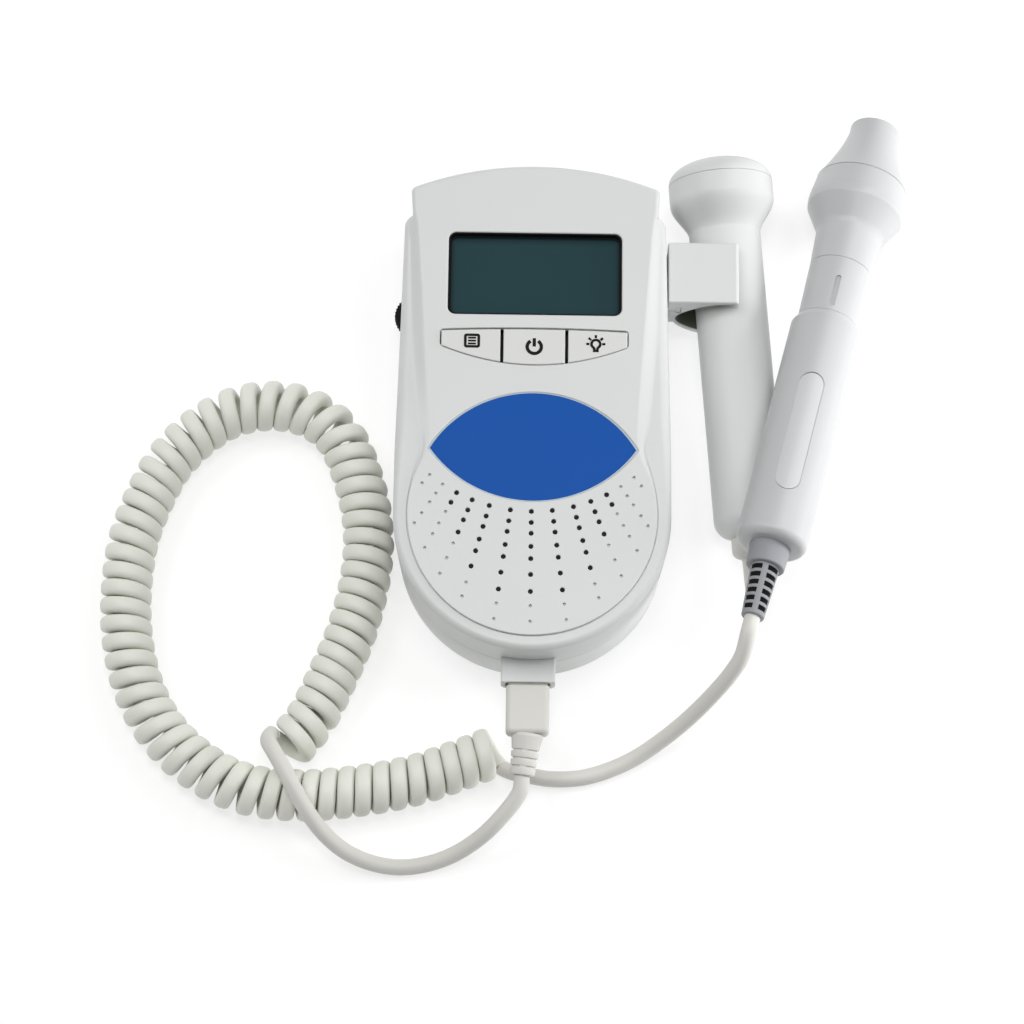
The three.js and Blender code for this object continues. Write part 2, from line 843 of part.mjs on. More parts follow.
// Screen, buttons, label

function screenLens() {
  return prismGeometry(screenOutline(lensBorder, screenCorner), ceilingZ - gap - lensThick, ceilingZ - gap);
}

function screenPanel() {
  const top = ceilingZ - 2 * gap - lensThick;
  return prismGeometry(screenOutline(panelBorder, gap), top - panelThick, top);
}

const flangeTopZ = ceilingZ - gap;
const buttonFootZ = flangeTopZ - flangeThick;

function button(x0, x1) {
  const cap = prism(barOutline(buttonGap, x0, x1), buttonFootZ, faceZ + buttonProud);
  const wide = barOutline(-buttonFlange, x0 + buttonFlange * 2, x1 - buttonFlange * 2);
  return cap.add(prism(wide, buttonFootZ, flangeTopZ));
}

const buttonSpans = {
  menu: [-barHalf, -buttonSplit - buttonSplitGap / 2 + buttonGap],
  power: [-buttonSplit + buttonSplitGap / 2 - buttonGap, buttonSplit - buttonSplitGap / 2 + buttonGap],
  light: [buttonSplit + buttonSplitGap / 2 - buttonGap, barHalf],
};
const keyCentreY = (barTopY + barBottomY) / 2;
const keyCentres = Object.fromEntries(
  Object.entries(buttonSpans).map(([name, [x0, x1]]) => [name, (x0 + x1) / 2]),
);
const matTopZ = buttonFootZ - buttonTravel - gap;

function keyMat() {
  const skirtZ = matTopZ - matDomeHeight;
  let mat = prism(barOutline(-buttonFlange), skirtZ - matThick, skirtZ);
  Object.values(keyCentres).forEach((x) => {
    mat = mat.add(drum(matDomeRadius, x, keyCentreY, skirtZ - matThick, matTopZ, hiddenSides));
  });
  return mat;
}

function keySwitch(x) {
  const base = boardZ + boardThick + gap / 2;
  const top = matTopZ - matDomeHeight - matThick - gap;
  const half = switchSize / 2;
  const body = block(x - half, x + half, keyCentreY - half, keyCentreY + half, base, base + switchBody);
  return body.add(drum(switchStemRadius, x, keyCentreY, base, top, hiddenSides));
}

function faceLabel() {
  return prismGeometry(labelOutline(gap), faceZ - labelRecess + gap, faceZ + labelProud);
}

// Inside the case

function mainBoard() {
  const foot = boardZ - overrun;
  const top = boardZ + boardThick + overrun;
  const outside = caseHalf + overrun;
  const endY = socketInnerY + overrun;
  const [bossX, bossY] = screwTop;
  const jackRoom = jackHalf + gap;
  let board = prism(caseOutline(boardInset), boardZ, boardZ + boardThick);
  board = board.intersect(block(-outside, outside, endY, capEndY - boardTopDrop, foot, top));
  screwSpots.forEach(([x, y]) => {
    board = board.subtract(drum(screwBossRadius + gap, x, y, foot, top, smallSides));
  });
  board = board.subtract(block(bossX, outside, bossY - screwBossRadius, capEndY, foot, top));
  board = board.subtract(block(-outside, -bossX, bossY - screwBossRadius, capEndY, foot, top));
  const jackFrom = jackBackY() - gap - jackLength;
  return board.subtract(block(jackX - jackRoom, jackX + jackRoom, jackFrom, capEndY, foot, top));
}

function speaker() {
  const top = ceilingZ - gap;
  const basketZ = top - speakerConeDepth - speakerFrame;
  const profile = [
    [0, basketZ - magnetThick],
    [magnetRadius, basketZ - magnetThick],
    [magnetRadius, basketZ],
    [speakerBasket, basketZ + speakerFrame / 2],
    [speakerRadius, top - speakerFrame],
    [speakerRadius, top],
    [speakerRadius - speakerFrame, top],
    [speakerRadius - speakerFrame * 2, top - speakerFrame / 2],
    [magnetRadius / 2, top - speakerConeDepth + speakerFrame / 2],
    [0, top - speakerConeDepth + speakerFrame],
  ];
  return turnedGeometry(profile, roundSides).translate(0, speakerY, 0);
}

function volumeWheel() {
  const points = [];
  const steps = wheelTeeth * 2;
  for (let i = 0; i < steps; i += 1) {
    const angle = i / steps * Math.PI * 2;
    const radius = wheelRadius - (i % 2) * wheelToothDepth;
    points.push(new THREE.Vector2(wheelX + radius * Math.cos(angle), wheelY + radius * Math.sin(angle)));
  }
  const top = wheelZ + wheelThick;
  const bore = drum(wheelBoreRadius, wheelX, wheelY, wheelZ - overrun, top + overrun, hiddenSides);
  return prism(points, wheelZ, top).subtract(bore);
}

function volumePot() {
  const top = boardZ - gap / 2;
  const foot = wheelZ + wheelThick + gap;
  const x0 = wheelX - potHalf + potOffset;
  const x1 = wheelX + potHalf + potOffset;
  const body = block(x0, x1, wheelY - potHalf, wheelY + potHalf, foot, top);
  return body.add(drum(potShaftRadius, wheelX, wheelY, wheelZ, top, hiddenSides));
}

function earphoneJack() {
  const inner = jackBackY();
  const from = inner - jackLength;
  const half = jackHalf;
  const body = block(jackX - half, jackX + half, from, inner, jackZ - half, jackZ + half);
  const ringTo = capY(jackX, 0) + jackRingReach;
  const ring = drumGeometry(jackRingRadius, jackRingRadius, inner - gap, ringTo, smallSides);
  const bore = drumGeometry(jackBoreRadius, jackBoreRadius, from + overrun, ringTo + overrun, hiddenSides);
  [ring, bore].forEach((form) => form.rotateX(-Math.PI / 2).translate(jackX, 0, jackZ));
  return body.add(solid(ring)).subtract(solid(bore));
}

// A round cell: its nub towards +Y, or turned towards -Y; a spring presses on its flat end
function battery(x, turned) {
  const end = boxFromY + contactThick + gap * 2;
  const nub = batteryNubLength;
  const profile = [
    [0, 0], [batteryRadius - gap, 0], [batteryRadius, gap], [batteryRadius, batteryLength - gap],
    [batteryRadius - gap, batteryLength], [batteryNubRadius, batteryLength],
    [batteryNubRadius, batteryLength + nub], [0, batteryLength + nub],
  ];
  const cell = turnedGeometry(profile, smallSides);
  if (turned) {
    cell.rotateX(Math.PI);
    cell.translate(0, 0, batteryLength + nub);
  }
  cell.rotateX(-Math.PI / 2);
  const lift = floorZ + gap + batteryRadius;
  return cell.translate(x, end + (turned ? 0 : contactSpring), lift);
}

// A contact plate across both cells, with the spring of one cell on the side that faces inward
function contact(y, springSide, inward) {
  const lift = floorZ + gap + batteryRadius;
  const half = boxHalf - gap;
  const tall = batteryNubRadius * 2;
  const plate = block(-half, half, y, y + contactThick, lift - tall, lift + tall);
  const reach = contactSpring - gap;
  const from = inward > 0 ? y + contactThick : y - reach;
  const spring = drumGeometry(contactSpringRadius, contactSpringRadius, 0, reach, hiddenSides);
  spring.rotateX(-Math.PI / 2);
  spring.translate(springSide * batteryPitch / 2, from, lift);
  return plate.add(solid(spring));
}

function caseScrew(x, y) {
  const floor = screwHeadSink - screwHeadThick - gap;
  const head = drum(screwHeadRadius, x, y, floor, screwHeadSink - gap, hiddenSides);
  const shaft = drum(screwShaftRadius, x, y, floor + gap, screwHeadSink + screwLength, shaftSides);
  const long = screwHeadRadius * screwSlotReachShare;
  const half = screwSlotWidth / 2;
  const slotA = block(x - long, x + long, y - half, y + half, floor - overrun, floor + screwSlotDepth);
  const slotB = block(x - half, x + half, y - long, y + long, floor - overrun, floor + screwSlotDepth);
  return head.add(shaft).subtract(slotA).subtract(slotB);
}

// Probe socket and plug

function probeSocket() {
  const x0 = socketX - socketHalf;
  const x1 = socketX + socketHalf;
  const lipY = socketOuterY - socketLugReach;
  const lowZ = socketBottomZ + socketWall;
  const highZ = socketTopZ - socketWall;
  let shroud = block(x0, x1, socketOuterY, socketInnerY, socketBottomZ, socketTopZ);
  [x0, x1 - socketLugWidth].forEach((x) => {
    shroud = shroud.add(block(x, x + socketLugWidth, lipY, socketOuterY + gap, lowZ, highZ));
  });
  const lift = socketWall / 2;
  const mouthFrom = lipY - overrun;
  const mouthTo = socketInnerY - socketWall;
  const mouth = block(x0 + socketWall, x1 - socketWall, mouthFrom, mouthTo, lowZ - lift, highZ + lift);
  return shroud.subtract(mouth);
}

function plugBody() {
  const middle = socketTopZ - plugTopDrop - plugThick / 2;
  const body = roundedRect(plugHalf, plugThick / 2, plugCorner, 3);
  const nose = roundedRect(plugHalf - plugNoseInset, plugThick / 2 - plugNoseInset, plugCorner / 2, 3);
  const place = (form) => form.rotateX(-Math.PI / 2).scale(1, 1, -1).translate(socketX, 0, middle);
  const shoulder = socketOuterY - gap;
  const bodyForm = place(prismGeometry(body, plugEndY, shoulder));
  const noseForm = place(prismGeometry(nose, shoulder - gap, shoulder + plugNoseLength));
  return solid(bodyForm).add(solid(noseForm));
}

// A direction of travel from one place to another
function heading(from, to) {
  return new THREE.Vector3(...to).sub(new THREE.Vector3(...from)).normalize();
}

// Stands a form made along Z at a place, with Z turned to a direction and X kept as level as can be
function stand(object, place, direction) {
  const side = new THREE.Vector3().crossVectors(direction, new THREE.Vector3(0, 0, 1)).normalize();
  const up = new THREE.Vector3().crossVectors(side, direction).normalize();
  const turn = new THREE.Matrix4().makeBasis(up, new THREE.Vector3().crossVectors(direction, up), direction);
  object.quaternion.setFromRotationMatrix(turn);
  object.position.set(...place);
  return object;
}

const plugMiddleZ = socketTopZ - plugTopDrop - plugThick / 2;
const plugBootFrom = [socketX, plugEndY - plugBootSeat, plugMiddleZ];
const plugBootTo = [socketX - plugBootSide, plugBootFrom[1] - plugBootReach, plugMiddleZ - plugBootDrop];

function plugBoot(group) {
  const length = new THREE.Vector3(...plugBootFrom).distanceTo(new THREE.Vector3(...plugBootTo));
  const plain = length * plugBootPlainShare;
  const rib = length * plugBootRibbedShare / plugBootRibs / 2;
  const radiusAt = (along) => plugBootStart + (plugBootEnd - plugBootStart) * along / length;
  const profile = [
    [0, 0], [radiusAt(0) - plugBootRound, 0], [radiusAt(0), plugBootRound], [radiusAt(plain), plain],
  ];
  for (let i = 0; i < plugBootRibs; i += 1) {
    const from = plain + i * 2 * rib;
    profile.push([radiusAt(from), from + gap / 3]);
    profile.push([radiusAt(from) - plugBootGroove, from + gap / 2]);
    profile.push([radiusAt(from) - plugBootGroove, from + rib - gap / 2]);
    profile.push([radiusAt(from), from + rib]);
  }
  profile.push([plugBootEnd, length]);
  profile.push([0, length]);
  return add('plug_boot', turnedGeometry(profile, hiddenSides), 'lead', group);
}

// Probe holder

function probeHolder() {
  const points = [];
  const steps = 20;
  const outer = holderBoreRadius + holderArm;
  const lip = Math.acos((holderX1 - holderBoreX) / holderBoreRadius);
  const lipOuter = Math.acos((holderX1 - holderBoreX) / outer);
  const turnIn = 2 * Math.PI - lip;
  const onCircle = (radius, angle) => new THREE.Vector2(
    holderBoreX + radius * Math.cos(angle),
    holderBoreZ + radius * Math.sin(angle),
  );
  points.push(new THREE.Vector2(holderX0, holderTopZ));
  points.push(new THREE.Vector2(holderX1, holderTopZ));
  for (let i = 0; i <= steps; i += 1) {
    points.push(onCircle(holderBoreRadius, lip + (turnIn - lip) * i / steps));
  }
  const heelAngle = Math.PI + Math.asin(holderHeel / outer);
  const from = 2 * Math.PI - lipOuter;
  for (let i = 0; i <= steps / 2; i += 1) {
    points.push(onCircle(outer, from + (heelAngle - from) * i / (steps / 2)));
  }
  points.push(new THREE.Vector2(holderX0, points[points.length - 1].y));
  const slot = alongY(railOutline(gap), holderY0 - overrun, holderY1 + overrun);
  return alongY(points, holderY0, holderY1).subtract(slot);
}

// Flat probe: lofted from its round head to a flattened handle

// A place on the flat probe's axis, along Y from the middle of its holder
function flatPlace(along) {
  const x = holderBoreX + flatShift + flatLeanShare * along;
  return [x, holderY0 + holderLength / 2 + along, holderBoreZ + flatRiseShare * along];
}

const flatTail = flatPlace(-flatBelow);
const flatHead = flatPlace(flatAbove);

function flatRing(halfWidth, halfThick, z, power) {
  const points = [];
  for (let i = 0; i < fineSides; i += 1) {
    const angle = i / fineSides * Math.PI * 2;
    const c = Math.cos(angle);
    const s = Math.sin(angle);
    const x = halfThick * Math.sign(c) * Math.abs(c) ** (2 / power);
    const y = halfWidth * Math.sign(s) * Math.abs(s) ** (2 / power);
    points.push(new THREE.Vector3(x, y, z));
  }
  return points;
}

function flatProbe() {
  const group = new THREE.Group();
  const length = new THREE.Vector3(...flatHead).distanceTo(new THREE.Vector3(...flatTail));
  const rings = [];
  const cornerSteps = 4;
  for (let i = 0; i <= cornerSteps; i += 1) {
    const angle = i / cornerSteps * Math.PI / 2;
    const inset = flatCorner * (1 - Math.sin(angle));
    const z = flatCorner * (1 - Math.cos(angle));
    rings.push(flatRing(flatHalfWidth - inset, flatHalfThick - inset, z, flatHandlePower));
  }
  const neck = length - flatFlare;
  rings.push(flatRing(flatHalfWidth, flatHalfThick, neck, flatHandlePower));
  const flareSteps = 5;
  for (let i = 1; i <= flareSteps; i += 1) {
    const share = i / flareSteps;
    const bulge = THREE.MathUtils.smoothstep(share, 0, 1);
    const wide = flatHalfWidth + (flatRimRadius - flatHalfWidth) * bulge;
    const thick = flatHalfThick + (flatRimRadius - flatHalfThick) * bulge;
    const power = flatHandlePower + (2 - flatHandlePower) * share;
    rings.push(flatRing(wide, thick, neck + (flatFlare - flatRimHeight) * share, power));
  }
  rings.push(flatRing(flatRimRadius, flatRimRadius, length - gap, 2));
  add('flat_probe_body', loft(rings), 'body', group);

  const dome = [[0, 0], [flatRimRadius, 0], [flatRimRadius - flatFaceLip / 2, flatFaceLip]];
  const domeSteps = 6;
  const domeRadius = flatRimRadius - flatFaceLip;
  for (let i = 1; i <= domeSteps; i += 1) {
    const angle = i / domeSteps * Math.PI / 2;
    const rise = (flatFaceHeight - flatFaceLip) * Math.sin(angle);
    dome.push([domeRadius * Math.cos(angle), flatFaceLip + rise]);
  }
  add('flat_probe_face', turnedGeometry(dome, fineSides).translate(0, 0, length), 'probe', group);

  const boot = [
    [0, -gap], [flatBootRadius, -gap], [flatBootRadius, -flatBootBall / 2],
    [flatBootRadius * flatBootRoundShare, -flatBootBall * flatBootRoundShare],
    [flatBootNeck, -flatBootBall], [flatBootEnd, -flatBootLength], [0, -flatBootLength],
  ];
  add('flat_probe_boot', turnedGeometry(boot, smallSides), 'lead', group);
  return stand(group, flatTail, heading(flatTail, flatHead));
}

// Pencil probe: turned pieces along its axis, tip towards +Z of its own frame

const pencilHead = [flatHead[0] + pencilHeadOut, flatHead[1] - pencilHeadBack, pencilHeadZ];
const pencilTailZ = flatTail[2] + flatHalfThick + pencilHandleRadius + pencilTailLift;
const pencilTail = [flatTail[0] + pencilTailOut, flatTail[1] + pencilTailFore, pencilTailZ];

function pencilTipProfile() {
  const steps = 5;
  const straight = (pencilTip - pencilShoulder) * pencilTipStraightShare;
  const flare = pencilTip - straight - pencilShoulder;
  const profile = [[0, pencilShoulder], [pencilShoulderRadius, pencilShoulder]];
  for (let i = 1; i <= steps; i += 1) {
    const share = i / steps;
    const spread = (pencilShoulderRadius - pencilTipRadius) * (1 - share) ** pencilFlarePower;
    profile.push([pencilTipRadius + spread, pencilShoulder + flare * share]);
  }
  const recess = pencilTipRadius - lensInset;
  return [
    ...profile, [pencilTipRadius, pencilTip - gap], [pencilTipRadius - gap, pencilTip],
    [recess, pencilTip], [recess, pencilTip - lensDepth], [0, pencilTip - lensDepth],
  ];
}

// The stadium-shaped label on the side of the handle that faces up, inset all round
function pencilLabelForm(inset) {
  const half = pencilLabelWidth / 2 - inset;
  const outline = roundedRect(pencilLabelLength / 2 - inset, half, half * pencilLabelRoundShare);
  const foot = pencilHandleRadius - pencilLabelDepth + inset;
  const form = prismGeometry(outline, foot, pencilHandleRadius + overrun);
  return solid(form.rotateY(Math.PI / 2).translate(0, 0, pencilLabelTop - pencilLabelLength / 2));
}

const collarEnd = pencilHandleEnd - pencilCollarLength;
const bootTop = collarEnd - gap;
const bootEnd = bootTop - pencilBootLength;

// Strain relief with rows of slots on both sides
function pencilBoot() {
  const profile = [
    [0, bootEnd], [pencilBootTip - gap, bootEnd], [pencilBootTip, bootEnd + gap],
    [pencilBootRadius, bootTop], [0, bootTop],
  ];
  const wide = pencilBootRadius + overrun;
  const reach = pencilBootRadius * bootSlotShare;
  const rowPitch = pencilBootLength / (bootSlotRows + bootSlotEndShare);
  let ribbed = solid(turnedGeometry(profile, smallSides));
  for (let row = 0; row < bootSlotRows; row += 1) {
    const z = bootTop - rowPitch * (row + 1 / 2);
    ribbed = ribbed.subtract(block(-wide, wide, reach, wide, z - bootSlotWidth, z));
    ribbed = ribbed.subtract(block(-wide, wide, -wide, -reach, z - bootSlotWidth, z));
  }
  return ribbed;
}

function pencilProbe() {
  const group = new THREE.Group();
  add('pencil_probe_tip', turnedGeometry(pencilTipProfile(), fineSides), 'probe', group);

  const lensRadius = pencilTipRadius - lensInset - gap;
  const lensFoot = pencilTip - lensDepth + gap;
  const lens = [[0, lensFoot], [lensRadius, lensFoot], [lensRadius, pencilTip], [0, pencilTip + gap]];
  add('pencil_probe_lens', turnedGeometry(lens, smallSides), 'boot', group);

  const ringEdge = pencilRingRadius - gap;
  const head = [
    [0, pencilSeam + gap], [pencilSeamRadius, pencilSeam + gap], [pencilWaistRadius, pencilWaist],
    [ringEdge, -pencilRingHalf], [pencilRingRadius, 0], [ringEdge, pencilRingHalf],
    [pencilShoulderRadius, pencilShoulder - gap], [0, pencilShoulder - gap],
  ];
  add('pencil_probe_head', turnedGeometry(head, fineSides), 'probe', group);

  const neck = [
    [0, pencilNeckEnd], [pencilNeckRadius, pencilNeckEnd], [pencilSeamRadius, pencilSeam], [0, pencilSeam],
  ];
  const markFoot = pencilNeckRadius - pencilMarkDepth;
  const markHalf = pencilMarkWidth / 2;
  const markEnd = pencilMarkTop - pencilMarkLength;
  const mark = block(markFoot, pencilHandleRadius, -markHalf, markHalf, markEnd, pencilMarkTop);
  add('pencil_probe_neck', solid(turnedGeometry(neck, fineSides)).subtract(mark), 'probe', group);

  const round = pencilHandleRound;
  const cut = round * (1 - Math.SQRT1_2);
  const handle = [
    [0, pencilHandleEnd], [pencilHandleRadius - round, pencilHandleEnd],
    [pencilHandleRadius - cut, pencilHandleEnd + cut], [pencilHandleRadius, pencilHandleEnd + round],
    [pencilHandleRadius, pencilStep], [pencilNeckRadius + gap, pencilNeckEnd - gap], [0, pencilNeckEnd - gap],
  ];
  const grip = solid(turnedGeometry(handle, fineSides));
  add('pencil_probe_handle', grip.subtract(pencilLabelForm(0)), 'probe', group);

  const skinRadius = pencilHandleRadius - pencilLabelProud;
  const skin = turnedGeometry([[0, pencilHandleEnd], [skinRadius, pencilHandleEnd], [skinRadius, pencilStep],
    [0, pencilStep]], fineSides);
  add('pencil_probe_label', pencilLabelForm(gap).intersect(solid(skin)), 'body', group);

  const collar = [
    [0, collarEnd], [pencilCollarRadius - gap, collarEnd], [pencilCollarRadius, collarEnd + gap],
    [pencilCollarRadius, pencilHandleEnd - gap], [0, pencilHandleEnd - gap],
  ];
  add('pencil_probe_collar', turnedGeometry(collar, roundSides), 'boot', group);
  add('pencil_probe_boot', pencilBoot(), 'boot', group);
  return stand(group, pencilHead, heading(pencilTail, pencilHead));
}

// Cord

function tube(points, radius, sides) {
  const rings = [];
  let side = null;
  points.forEach((point, i) => {
    const before = points[Math.max(i - 1, 0)];
    const after = points[Math.min(i + 1, points.length - 1)];
    const ahead = after.clone().sub(before).normalize();
    const start = side ?? new THREE.Vector3(0, 0, 1).cross(ahead).normalize();
    side = start.clone().addScaledVector(ahead, -start.dot(ahead)).normalize();
    const other = new THREE.Vector3().crossVectors(ahead, side);
    const ring = [];
    for (let k = 0; k < sides; k += 1) {
      const angle = k / sides * Math.PI * 2;
      const place = point.clone().addScaledVector(side, Math.cos(angle) * radius);
      ring.push(place.addScaledVector(other, Math.sin(angle) * radius));
    }
    rings.push(ring);
  });
  const positions = [];
  rings.flat().forEach((point) => positions.push(point.x, point.y, point.z));
  const index = [];
  for (let level = 0; level + 1 < rings.length; level += 1) {
    for (let k = 0; k < sides; k += 1) {
      const a = level * sides + k;
      const b = level * sides + (k + 1) % sides;
      index.push(a, b, a + sides, b, b + sides, a + sides);
    }
  }
  const last = (rings.length - 1) * sides;
  for (let k = 1; k + 1 < sides; k += 1) {
    index.push(0, k + 1, k, last, last + k, last + k + 1);
  }
  const form = new THREE.BufferGeometry();
  form.setAttribute('position', new THREE.Float32BufferAttribute(positions, 3));
  form.setIndex(index);
  return form;
}

// Places of the curl's cord: a left-handed helix round the axis, wider pitch in its bends
function curlPath() {
  const axisPoints = curlRoute.map(([x, y]) => new THREE.Vector3(x, y, curlAxisZ));
  const axis = new THREE.CatmullRomCurve3(axisPoints, false, 'centripetal');
  const length = axis.getLength();
  const samples = 600;
  const lean = Math.atan(cordDiameter / (2 * Math.PI * curlRadius));
  const tight = (cordDiameter + curlGap) / Math.cos(lean);
  const turnsTo = [0];
  for (let i = 1; i <= samples; i += 1) {
    const here = axis.getTangentAt((i - 1) / samples);
    const next = axis.getTangentAt(i / samples);
    const bend = here.angleTo(next) / (length / samples);
    const pitch = tight / (1 - curlRadius * bend);
    turnsTo.push(turnsTo[i - 1] + length / samples / pitch);
  }
  const lastPart = 1 / 4;
  const turns = Math.floor(turnsTo[samples] - lastPart) + lastPart;
  const stretch = turnsTo[samples] / turns;
  const count = Math.round(turns * curlSteps);
  const up = new THREE.Vector3(0, 0, 1);
  const points = [];
  let sample = 0;
  for (let i = 0; i <= count; i += 1) {
    const turn = i / curlSteps;
    const target = turn * stretch;
    while (sample < samples - 1 && turnsTo[sample + 1] < target) {
      sample += 1;
    }
    const part = (target - turnsTo[sample]) / (turnsTo[sample + 1] - turnsTo[sample]);
    const share = Math.min((sample + part) / samples, 1);
    const ahead = axis.getTangentAt(share);
    const left = up.clone().cross(ahead).normalize();
    const angle = -turn * Math.PI * 2;
    const place = axis.getPointAt(share).addScaledVector(left, curlRadius * Math.cos(angle));
    points.push(place.addScaledVector(up, curlRadius * Math.sin(angle)));
  }
  return points;
}

// The curl with a straight run of one diameter at each end
function curlWithEnds() {
  const points = curlPath();
  const start = points[0].clone().sub(points[1]).normalize();
  const end = points[points.length - 1].clone().sub(points[points.length - 2]).normalize();
  const before = points[1].clone().sub(points[2]);
  start.applyAxisAngle(new THREE.Vector3().crossVectors(before, start).normalize(), Math.PI / curlSteps);
  end.z = 0;
  end.normalize();
  points.unshift(points[0].clone().addScaledVector(start, cordDiameter));
  points.push(points[points.length - 1].clone().addScaledVector(end, cordDiameter));
  return points;
}

function distanceToChord(point, from, to) {
  const chord = new THREE.Line3(from, to);
  return chord.closestPointToPoint(point, true, new THREE.Vector3()).distanceTo(point);
}

// Least gap between the curl's surface and itself, from its centre line
function leastGap(points) {
  let least = Infinity;
  const apart = curlSteps / 2 + 1;
  points.forEach((point, i) => {
    for (let k = i + apart; k + 1 < points.length; k += 1) {
      least = Math.min(least, distanceToChord(point, points[k], points[k + 1]));
    }
  });
  return least - cordDiameter;
}

function leadGeometry(points) {
  const route = new THREE.CatmullRomCurve3(points, false, 'centripetal');
  const radius = cordDiameter / 2;
  const outline = new THREE.Shape();
  outline.absarc(0, 0, radius, 0, Math.PI * 2);
  const steps = Math.round(route.getLength() / (cordDiameter * leadStepShare));
  const options = { extrudePath: route, steps, curveSegments: leadSides / 2, bevelEnabled: false };
  return new THREE.ExtrudeGeometry(outline, options);
}

const curlPoints = curlWithEnds();
const curlStart = curlPoints[0];
const curlStartAhead = curlPoints[0].clone().sub(curlPoints[1]).normalize();
const curlEnd = curlPoints[curlPoints.length - 1];
const curlEndAhead = curlEnd.clone().sub(curlPoints[curlPoints.length - 2]).normalize();
console.log('curl turns', ((curlPoints.length - 3) / curlSteps).toFixed(2));
console.log('curl least gap to itself, mm', leastGap(curlPoints).toFixed(3));

// Runs straight out of a place for one diameter before it follows its route
function leadFrom(place, ahead, route, endPlace, endAhead) {
  const vectors = route.map(([x, y, z]) => new THREE.Vector3(x, y, z));
  const out = place.clone().addScaledVector(ahead, gap);
  const outFar = place.clone().addScaledVector(ahead, cordDiameter);
  const inFar = endPlace.clone().addScaledVector(endAhead, cordDiameter);
  const into = endPlace.clone().addScaledVector(endAhead, gap);
  return [out, outFar, ...vectors, inFar, into];
}

// Assembly

add('front_shell', frontShell(), 'body');
add('rear_shell', rearShell(), 'body');
add('battery_cover', batteryCover(), 'body');
add('screen_lens', screenLens(), 'window');
add('screen_panel', screenPanel(), 'panel');
Object.entries(buttonSpans).forEach(([name, [x0, x1]]) => add(`button_${name}`, button(x0, x1), 'key'));
add('key_mat', keyMat(), 'mat');
Object.entries(keyCentres).forEach(([name, x]) => add(`switch_${name}`, keySwitch(x), 'black'));
add('face_label', faceLabel(), 'label');
add('speaker', speaker(), 'black');
add('main_board', mainBoard(), 'board');
add('volume_wheel', volumeWheel(), 'black');
add('volume_pot', volumePot(), 'metal');
add('earphone_jack', earphoneJack(), 'black');
add('battery_left', battery(-batteryPitch / 2, false), 'battery');
add('battery_right', battery(batteryPitch / 2, true), 'battery');
add('contact_low', contact(boxFromY + gap, -1, 1), 'metal');
add('contact_high', contact(boxToY - gap - contactThick, 1, -1), 'metal');
screwSpots.forEach(([x, y], i) => add(`case_screw_${i + 1}`, caseScrew(x, y), 'metal'));
add('probe_socket', probeSocket(), 'body');
add('probe_holder', probeHolder(), 'body');
monitor.add(flatProbe());
monitor.add(pencilProbe());
add('plug_body', plugBody(), 'lead');

const plugAhead = heading(plugBootFrom, plugBootTo);
const plugBootGroup = new THREE.Group();
plugBoot(plugBootGroup);
monitor.add(stand(plugBootGroup, plugBootFrom, plugAhead));

const pencilBack = heading(pencilHead, pencilTail);
const pencilExit = new THREE.Vector3(...pencilHead).addScaledVector(pencilBack, -bootEnd);
const plugExit = new THREE.Vector3(...plugBootTo);
const plugLeadPoints = leadFrom(curlStart, curlStartAhead, plugLeadRoute, plugExit, plugAhead);
const probeLeadPoints = leadFrom(curlEnd, curlEndAhead, probeLeadRoute, pencilExit, pencilBack);
add('cord_curl', tube(curlPoints, cordDiameter / 2, curlSides), 'cord');
add('plug_lead', leadGeometry(plugLeadPoints), 'lead');
add('probe_lead', leadGeometry(probeLeadPoints), 'lead');

export default monitor;
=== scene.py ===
import json
import math

import bpy
import numpy as np
from mathutils import Matrix, Vector

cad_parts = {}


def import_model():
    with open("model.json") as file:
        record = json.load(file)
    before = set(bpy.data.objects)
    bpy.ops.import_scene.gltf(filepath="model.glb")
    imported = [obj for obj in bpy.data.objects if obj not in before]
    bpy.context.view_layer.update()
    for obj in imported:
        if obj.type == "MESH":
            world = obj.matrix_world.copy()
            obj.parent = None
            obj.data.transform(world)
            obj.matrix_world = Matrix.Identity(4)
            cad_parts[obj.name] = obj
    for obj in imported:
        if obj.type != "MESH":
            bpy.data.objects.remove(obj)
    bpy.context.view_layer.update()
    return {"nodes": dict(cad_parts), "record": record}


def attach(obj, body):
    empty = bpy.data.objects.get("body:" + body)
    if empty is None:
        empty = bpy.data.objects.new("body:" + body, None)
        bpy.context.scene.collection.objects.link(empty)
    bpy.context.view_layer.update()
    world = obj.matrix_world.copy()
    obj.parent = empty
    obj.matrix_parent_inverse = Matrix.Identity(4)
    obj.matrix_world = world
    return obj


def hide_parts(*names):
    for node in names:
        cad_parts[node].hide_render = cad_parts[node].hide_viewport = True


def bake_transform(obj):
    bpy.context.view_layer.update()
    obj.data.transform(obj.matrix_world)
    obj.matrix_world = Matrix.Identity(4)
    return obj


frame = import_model()

# Lengths below are in millimetres and become metres where a mesh is made
MM = 0.001
FULL_TURN = 2 * math.pi
HALF_TURN = math.pi
QUARTER_TURN = math.pi / 2
TINY = 1e-6
SHARP_DEGREES = 38

# Fits
GAP = 0.3
OVERRUN = 1.0
SEAT_GAP = 0.02

# Sides and steps of round forms
FINE_SIDES = 96
ROUND_SIDES = 64
SMALL_SIDES = 40
ARC_STEPS = 6

# Case outline, as the solids have it
CASE_HALF = 35.85
DISC_CENTRE_Y = -30.4
DISC_RADIUS = 32.2
SHOULDER_HALF = 34.65
SHOULDER_Y = 52.6
SHOULDER_RADIUS = 2.0
CAP_HALF = 33.0
CAP_TAPER = 0.5
CAP_END_Y = 60.0
CAP_RISE = 6.6
TIP_Y = -13.3

